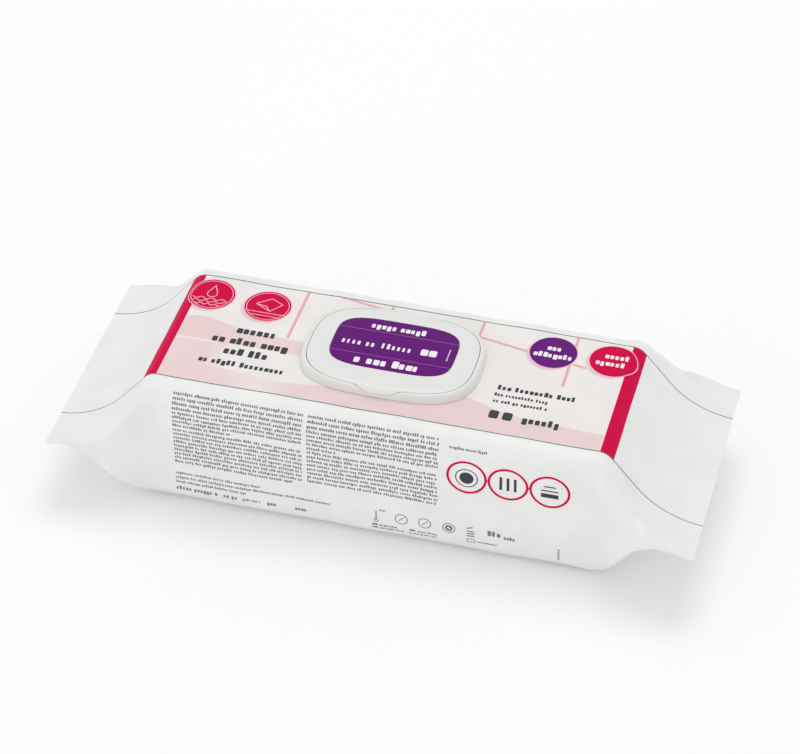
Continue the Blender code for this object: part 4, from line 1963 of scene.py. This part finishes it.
@dataclass
class LidCover:
    """The hinged cover: a softly crowned plate with its label's recess, plug and thumb tab."""

    sizes: LidSizes
    finish: MouldingFinish
    label_half_length: float = 36.8 * MM
    label_half_width: float = 22.15 * MM
    label_middle: float = 4.1 * MM
    label_roundness: float = 4.0
    label_gap: float = 0.3 * MM
    recess_depth: float = 0.45 * MM
    crown_steps: tuple[float, ...] = (1.0, 0.85, 0.70, 0.58, 0.46)
    tab_steps: int = 10
    rib_pitch: float = 17.0 * MM
    rib_width: float = 0.9 * MM
    rib_end: float = 2.4 * MM
    rib_drop: float = 0.35 * MM

    def label_ring(self, grow: float, height: float) -> np.ndarray:
        """List a ring parallel to the label's edge, grown outwards from it.

        Args:
            grow: How far it is grown.
            height: Height above the film.

        Returns:
            X, Y and Z of each point.
        """
        flat = self.sizes.outline(
            self.label_half_length + grow, self.label_half_width + grow,
            self.label_roundness, self.label_middle,
        )
        return self.sizes.raised(flat, height)

    def crown_height(self, inset: float) -> float:
        """Give the height of the cover's top at a distance in from its edge."""
        share = min(inset / self.sizes.crown_band, 1.0)
        return self.sizes.height + self.sizes.crown * (1.0 - (1.0 - share) ** 2)

    def cut_back(self, ring: np.ndarray, inset: float) -> np.ndarray:
        """Draw a ring's rear edge forward where the hinge's web lies.

        Args:
            ring: A ring of the cover.
            inset: How far that ring is set in from the edge.

        Returns:
            The ring, drawn forward.
        """
        s = self.sizes
        x = ring[:, 0] - s.centre
        ends = s.plateau(x, s.hinge_half_length - 2.0 * MM, s.hinge_half_length + 0.9 * MM)
        rear = np.where(ring[:, 1] > s.middle, ends, 0.0)
        cut = ring.copy()
        cut[:, 1] -= s.hinge_cut * rear * max(0.0, 1.0 - inset / s.crown_band)
        return cut

    def edge_rings(self, bend: float) -> tuple[np.ndarray, np.ndarray]:
        """Give the outer and inner ring of the cover's margin.

        Args:
            bend: From 0 at the tab's root to 1 at its tip.

        Returns:
            The ring on the outer surface and the ring below it.
        """
        s = self.sizes
        inset = s.tab_root * (1.0 - bend)
        turn = bend * math.pi / 2.0
        ring = s.frame_ring(s.cover_inset + inset, self.crown_height(inset))
        tab = s.tab_share(ring)
        outer = ring.copy()
        outer[:, 1] -= tab * ((s.tab_root + s.tab_reach) * math.sin(turn) - s.tab_root * bend)
        outer[:, 2] -= tab * s.tab_drop * (1.0 - math.cos(turn))
        front = np.where(ring[:, 1] < s.middle, 1.0, 0.0)
        thin = s.plateau(ring[:, 0] - s.centre, s.tab_half_width, s.tab_half_width + 2.5 * MM)
        thin *= front * (s.cover_thickness - s.tab_edge) * bend
        underside = s.film_top + s.height - s.cover_thickness + thin
        plate = self.crown_height(inset) - (s.height - s.cover_thickness)
        depth = plate + (s.tab_thickness - plate) * bend
        inner = outer.copy()
        inner[:, 1] += tab * depth * math.sin(turn)
        bent = outer[:, 2] - depth * math.cos(turn)
        inner[:, 2] = underside + (bent - underside) * tab
        return self.cut_back(outer, inset), self.cut_back(inner, inset)

    def build(self) -> bpy.types.Object:
        """Grow the cover from the recess over its edge to the plug, and dress it.

        Returns:
            The finished piece.
        """
        s = self.sizes
        top = s.height + s.crown
        underside = s.height - s.cover_thickness
        margins = [self.edge_rings(step / self.tab_steps) for step in range(self.tab_steps + 1)]
        shell = Shell("cover_moulding", s.spokes)
        shell.ring(self.label_ring(self.label_gap, top - self.recess_depth))
        shell.ring(self.label_ring(self.label_gap, top))
        for share in self.crown_steps:
            inset = s.crown_band * share
            ring = s.frame_ring(s.cover_inset + inset, self.crown_height(inset))
            shell.ring(self.cut_back(ring, inset))
        for outer, _ in margins:
            shell.ring(outer)
        for _, inner in reversed(margins):
            shell.ring(inner)
        shell.ring(s.window_ring(-s.plug_gap, underside))
        shell.ring(s.window_ring(-s.plug_gap, s.plug_end))
        shell.ring(s.window_ring(-s.plug_gap - s.plug_wall, s.plug_end))
        shell.ring(s.window_ring(-s.plug_gap - s.plug_wall, underside))
        piece = shell.close(edge=s.edge)
        dress(piece, self.finish.material())
        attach(piece, "cover")
        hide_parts("lid_cover")
        return piece

    def ribs(self) -> bpy.types.Object:
        """Make the low moulded ribs inside the plug ring, which stiffen the cover.

        Returns:
            The ribs as one piece.
        """
        s = self.sizes
        underside = s.film_top + s.height - s.cover_thickness
        pieces = []
        for offset in (-self.rib_pitch, 0.0, self.rib_pitch):
            clear_selection()
            bpy.ops.mesh.primitive_cube_add(
                size=1.0, location=(s.centre + offset, s.middle, underside - self.rib_drop),
                scale=(self.rib_width, 2.0 * (s.window_half_width - self.rib_end), self.rib_width),
            )
            bpy.ops.object.transform_apply()
            pieces.append(named("rib"))
        piece = join(pieces, "cover_ribs")
        apply_modifier(piece, "BEVEL", width=0.2 * MM, segments=3)
        dress(piece, self.finish.material())
        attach(piece, "cover")
        return piece


@dataclass
class HingeWeb:
    """The thin web of the film hinge, which bends between the frame and the cover."""

    sizes: LidSizes
    finish: MouldingFinish
    strips: int = 16
    overlap: float = 0.25 * MM
    end_gap: float = 0.35 * MM
    groove_half_width: float = 0.25 * MM
    groove_depth: float = 0.15 * MM

    def build(self) -> bpy.types.Object:
        """Model the web with a fine groove along its middle and dress it.

        Returns:
            The finished piece.
        """
        s = self.sizes
        axis = Vector(frame["joints"][0]["pos_m"])
        half = s.hinge_web / 2.0
        top = axis.z - s.web_sink
        clear_selection()
        bpy.ops.mesh.primitive_grid_add(x_subdivisions=8, y_subdivisions=self.strips, size=1.0)
        piece = named("hinge_web")
        at = places(piece)
        at[:, 0] *= 2.0 * (s.hinge_half_length - self.end_gap)
        at[:, 1] *= 2.0 * (half + self.overlap)
        groove = np.exp(-((at[:, 1] / self.groove_half_width) ** 2)) * self.groove_depth
        at[:, 2] = top - groove
        at[:, 0] += s.centre
        at[:, 1] += axis.y
        move_to(piece, at)
        apply_modifier(piece, "SOLIDIFY", thickness=s.web_thickness - 0.1 * MM, offset=-1.0)
        dress(piece, self.finish.material())
        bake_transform(piece)
        return piece


@dataclass
class CoverLabel:
    """The purple label in the cover's recess, with rows of white blocks on it."""

    cover: LidCover
    finish: LabelFinish
    thickness: float = 0.2 * MM
    proud: float = 0.05 * MM
    rows: tuple[Row, ...] = (
        Row(-20.0, 13.0, 17.7, 3.4, 0.78), Row(-33.4, -12.5, 0.4, 3.4, 0.50),
        Row(-9.5, 9.2, 0.6, 3.4, 0.50), Row(13.9, 25.3, 0.4, 5.5, 0.80),
        Row(-22.2, -17.4, -15.2, 4.6, 0.88), Row(-14.6, 15.6, -15.2, 4.6, 0.86),
    )
    tick_place: Point = (29.8, 8.6)
    tick_size: Point = (0.8, 0.7)
    tick_pitch: float = 1.2
    tick_count: int = 9
    seed: int = 3

    @property
    def top(self) -> float:
        """Height of the label's face above the film."""
        return self.cover.sizes.height + self.cover.sizes.crown + self.proud

    def on_face(self, flat: np.ndarray) -> np.ndarray:
        """Lay flat places on the label's face.

        Args:
            flat: U, V and lift of each place.

        Returns:
            X, Y and Z of each place.
        """
        where = flat.copy()
        where[:, 2] += self.cover.sizes.film_top + self.top
        return where

    def build(self) -> list[bpy.types.Object]:
        """Make the label and its print.

        Returns:
            The label and its print.
        """
        shell = Shell("purple_label", self.cover.sizes.spokes)
        shell.ring(self.cover.label_ring(0.0, self.top - self.thickness))
        shell.ring(self.cover.label_ring(0.0, self.top - 0.05 * MM))
        shell.ring(self.cover.label_ring(-0.03 * MM, self.top - 0.01 * MM))
        shell.ring(self.cover.label_ring(-0.10 * MM, self.top))
        piece = shell.close()
        map_sheet(piece, places(piece))
        dress(piece, self.finish.material())
        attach(piece, "cover")
        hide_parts("cover_label")
        art = Artwork(Ink.WHITE, Lift.FIELD)
        dice = random.Random(self.seed)
        for row in self.rows:
            row.draw(art, dice)
        left, first = self.tick_place
        wide, high = self.tick_size
        for index in range(self.tick_count):
            foot = first - index * self.tick_pitch
            art.block((left, foot), (left + wide, foot + high))
        print_piece = art.lay("label_blocks", self.on_face, "cover", "label_print")
        return [piece, print_piece]


@dataclass
class PeelSeal:
    """The peel-off foil over the opening in the film, with its pull tab lifted."""

    sizes: LidSizes
    finish: SealFoilFinish
    inset: float = 3.0 * MM
    tab_length: float = 7.0 * MM
    tab_half_width: float = 6.0 * MM
    tab_lift: float = 0.8 * MM
    thickness: float = 0.2 * MM
    glue: float = 0.08 * MM
    buckle_waves: tuple[float, float] = (5.1 * MM, 4.3 * MM)
    buckle_height: float = 0.05 * MM
    columns: int = 90
    rows: int = 24

    def half_width(self, x: float, end: float) -> float:
        """Give the foil's half width at X: a rounded body, then a narrower pull tab at +X.

        Args:
            x: X from the seal's middle.
            end: Half the foil's length.

        Returns:
            The half width.
        """
        s = self.sizes
        body_end = end - self.tab_length
        middle = (body_end - end) / 2.0
        share = min(abs(x - middle) / ((body_end + end) / 2.0), 1.0)
        power = s.window_roundness
        body = (s.window_half_width - self.inset) * (1.0 - share**power) ** (1.0 / power)
        past = max(x - (end - self.tab_half_width), 0.0) / self.tab_half_width
        tab = self.tab_half_width * math.sqrt(max(1.0 - past**2, 0.0))
        return max(body, tab if x > middle else 0.0)

    def build(self) -> bpy.types.Object:
        """Shape the foil from a flat grid, with a faint buckle, and lift its tab.

        Returns:
            The finished piece.
        """
        s = self.sizes
        end = s.window_half_length - self.inset
        clear_selection()
        bpy.ops.mesh.primitive_grid_add(
            x_subdivisions=self.columns, y_subdivisions=self.rows, size=2.0
        )
        piece = named("peel_foil")
        at = places(piece)
        turns = (0.012 + 0.976 * (at[:, 0] + 1.0) / 2.0) * math.pi
        x = -end * np.cos(turns)
        half = np.array([self.half_width(value, end) for value in x])
        at[:, 0] = x
        at[:, 1] *= half
        flat = at.copy()
        long, short = self.buckle_waves
        buckle = np.sin(x / long) * np.sin(at[:, 1] / short + 0.8)
        lift = self.tab_lift * (np.maximum(x - end + self.tab_length, 0.0) / self.tab_length) ** 2
        at[:, 0] += s.centre
        at[:, 1] += s.middle
        at[:, 2] = s.film_top + self.glue + lift + self.buckle_height * (1.0 + buckle)
        move_to(piece, at)
        map_sheet(piece, flat)
        apply_modifier(piece, "SOLIDIFY", thickness=self.thickness, offset=1.0)
        dress(piece, self.finish.material())
        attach(piece, "base")
        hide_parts("peel_off_seal")
        return piece


@dataclass(frozen=True)
class SoftBox:
    """A large soft lamp aimed at the pack.

    Attributes:
        name: The lamp's name.
        place: Where it hangs.
        size: Length of its sides.
        power: Its light in watts.
    """

    name: str
    place: tuple[float, float, float]
    size: float
    power: float

    def hang(self, target: Vector) -> None:
        """Add the lamp and aim it.

        Args:
            target: The place that it is aimed at.
        """
        bpy.ops.object.light_add(type="AREA", location=self.place)
        lamp = bpy.context.object
        lamp.name = self.name
        lamp.data.shape = "SQUARE"
        lamp.data.size = self.size
        lamp.data.energy = self.power
        lamp.rotation_euler = (target - Vector(self.place)).to_track_quat("-Z", "Y").to_euler()


@dataclass
class Studio:
    """Floor, soft light and camera, in metres, millimetres of lens and degrees."""

    floor_finish: FloorFinish
    floor_size: float = 12.0
    world_strength: float = 0.76
    lamps: tuple[SoftBox, ...] = (
        SoftBox("top_lamp", (0.03, 0.60, 2.3), 1.2, 12.0),
        SoftBox("front_lamp", (-0.9, -2.4, 0.55), 1.6, 9.0),
    )
    lens: float = 131.85
    sensor: float = 36.0
    camera_place: tuple[float, float, float] = (0.3417, -1.2681, 1.1815)
    camera_down: float = 40.14
    camera_turn: float = 14.99

    def build(self) -> None:
        """Lay the floor, light the room and set the camera."""
        clear_selection()
        bpy.ops.mesh.primitive_plane_add(size=self.floor_size)
        floor = named("floor")
        floor.data.materials.append(self.floor_finish.material())
        target = Vector((0.0, 0.0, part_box("film_pouch")[1].z / 2.0))
        for lamp in self.lamps:
            lamp.hang(target)
        world = bpy.data.worlds.new("pale_room")
        world.use_nodes = True
        background = world.node_tree.nodes["Background"]
        background.inputs["Color"].default_value = (1.0, 1.0, 1.0, 1.0)
        background.inputs["Strength"].default_value = self.world_strength
        bpy.context.scene.world = world
        bpy.ops.object.camera_add(
            location=self.camera_place,
            rotation=(math.radians(90.0 - self.camera_down), 0.0, math.radians(self.camera_turn)),
        )
        camera = bpy.context.object
        camera.name = "camera"
        camera.data.lens = self.lens
        camera.data.sensor_width = self.sensor
        camera.data.sensor_fit = "HORIZONTAL"
        bpy.context.scene.camera = camera
        bpy.context.scene.view_settings.view_transform = "Standard"


def film_folds() -> tuple[Fold, ...]:
    """List the folds that run from the stack's corners out to the fused seals.

    Returns:
        The folds.
    """
    folds = []
    for end in (-1.0, 1.0):
        for side in (-1.0, 1.0):
            folds += [
                Fold((end * 128.0, side * 58.0), (end * 184.0, side * 84.0), 5.0, -0.55),
                Fold((end * 132.0, side * 74.0), (end * 188.0, side * 96.0), 4.0, 0.50),
                Fold((end * 126.0, side * 110.0), (end * 186.0, side * 102.0), 4.5, -0.50),
                Fold((end * 122.0, side * 66.0), (end * 150.0, side * 70.0), 3.0, 0.35),
            ]
    folds += [
        Fold((-62.0, -54.0), (-18.0, -50.0), 3.2, 0.35),
        Fold((-24.0, -49.0), (12.0, -54.0), 3.0, -0.40),
        Fold((4.0, -52.0), (44.0, -50.0), 3.4, 0.35),
        Fold((122.0, 52.0), (136.0, 58.0), 1.6, 0.90),
        Fold((127.0, 50.0), (133.0, 62.0), 1.2, -0.70),
    ]
    return tuple(folds)


def main() -> None:
    """Build the pack and its studio, piece by piece."""
    logging.basicConfig(level=logging.INFO, format="%(message)s")
    studio = Studio(FloorFinish())
    studio.build()
    film = FilmShape(folds=film_folds())
    print_work = PackPrint(film)
    discs = tuple((u, v) for u, v, _ in print_work.discs)
    moulding = MouldingFinish()
    lid = LidSizes()
    cover = LidCover(lid, moulding)
    pieces = [Pouch(film, FilmFinish(discs=discs)).build()]
    pieces += print_work.build()
    pieces += [LidFrame(lid, moulding).build(), cover.build(), cover.ribs()]
    pieces += [HingeWeb(lid, moulding).build(), *CoverLabel(cover, LabelFinish()).build()]
    pieces.append(PeelSeal(lid, SealFoilFinish()).build())
    for piece in pieces:
        LOG.info("%s: %d faces", piece.name, len(piece.data.polygons))


if __name__ == "__main__":
    main()
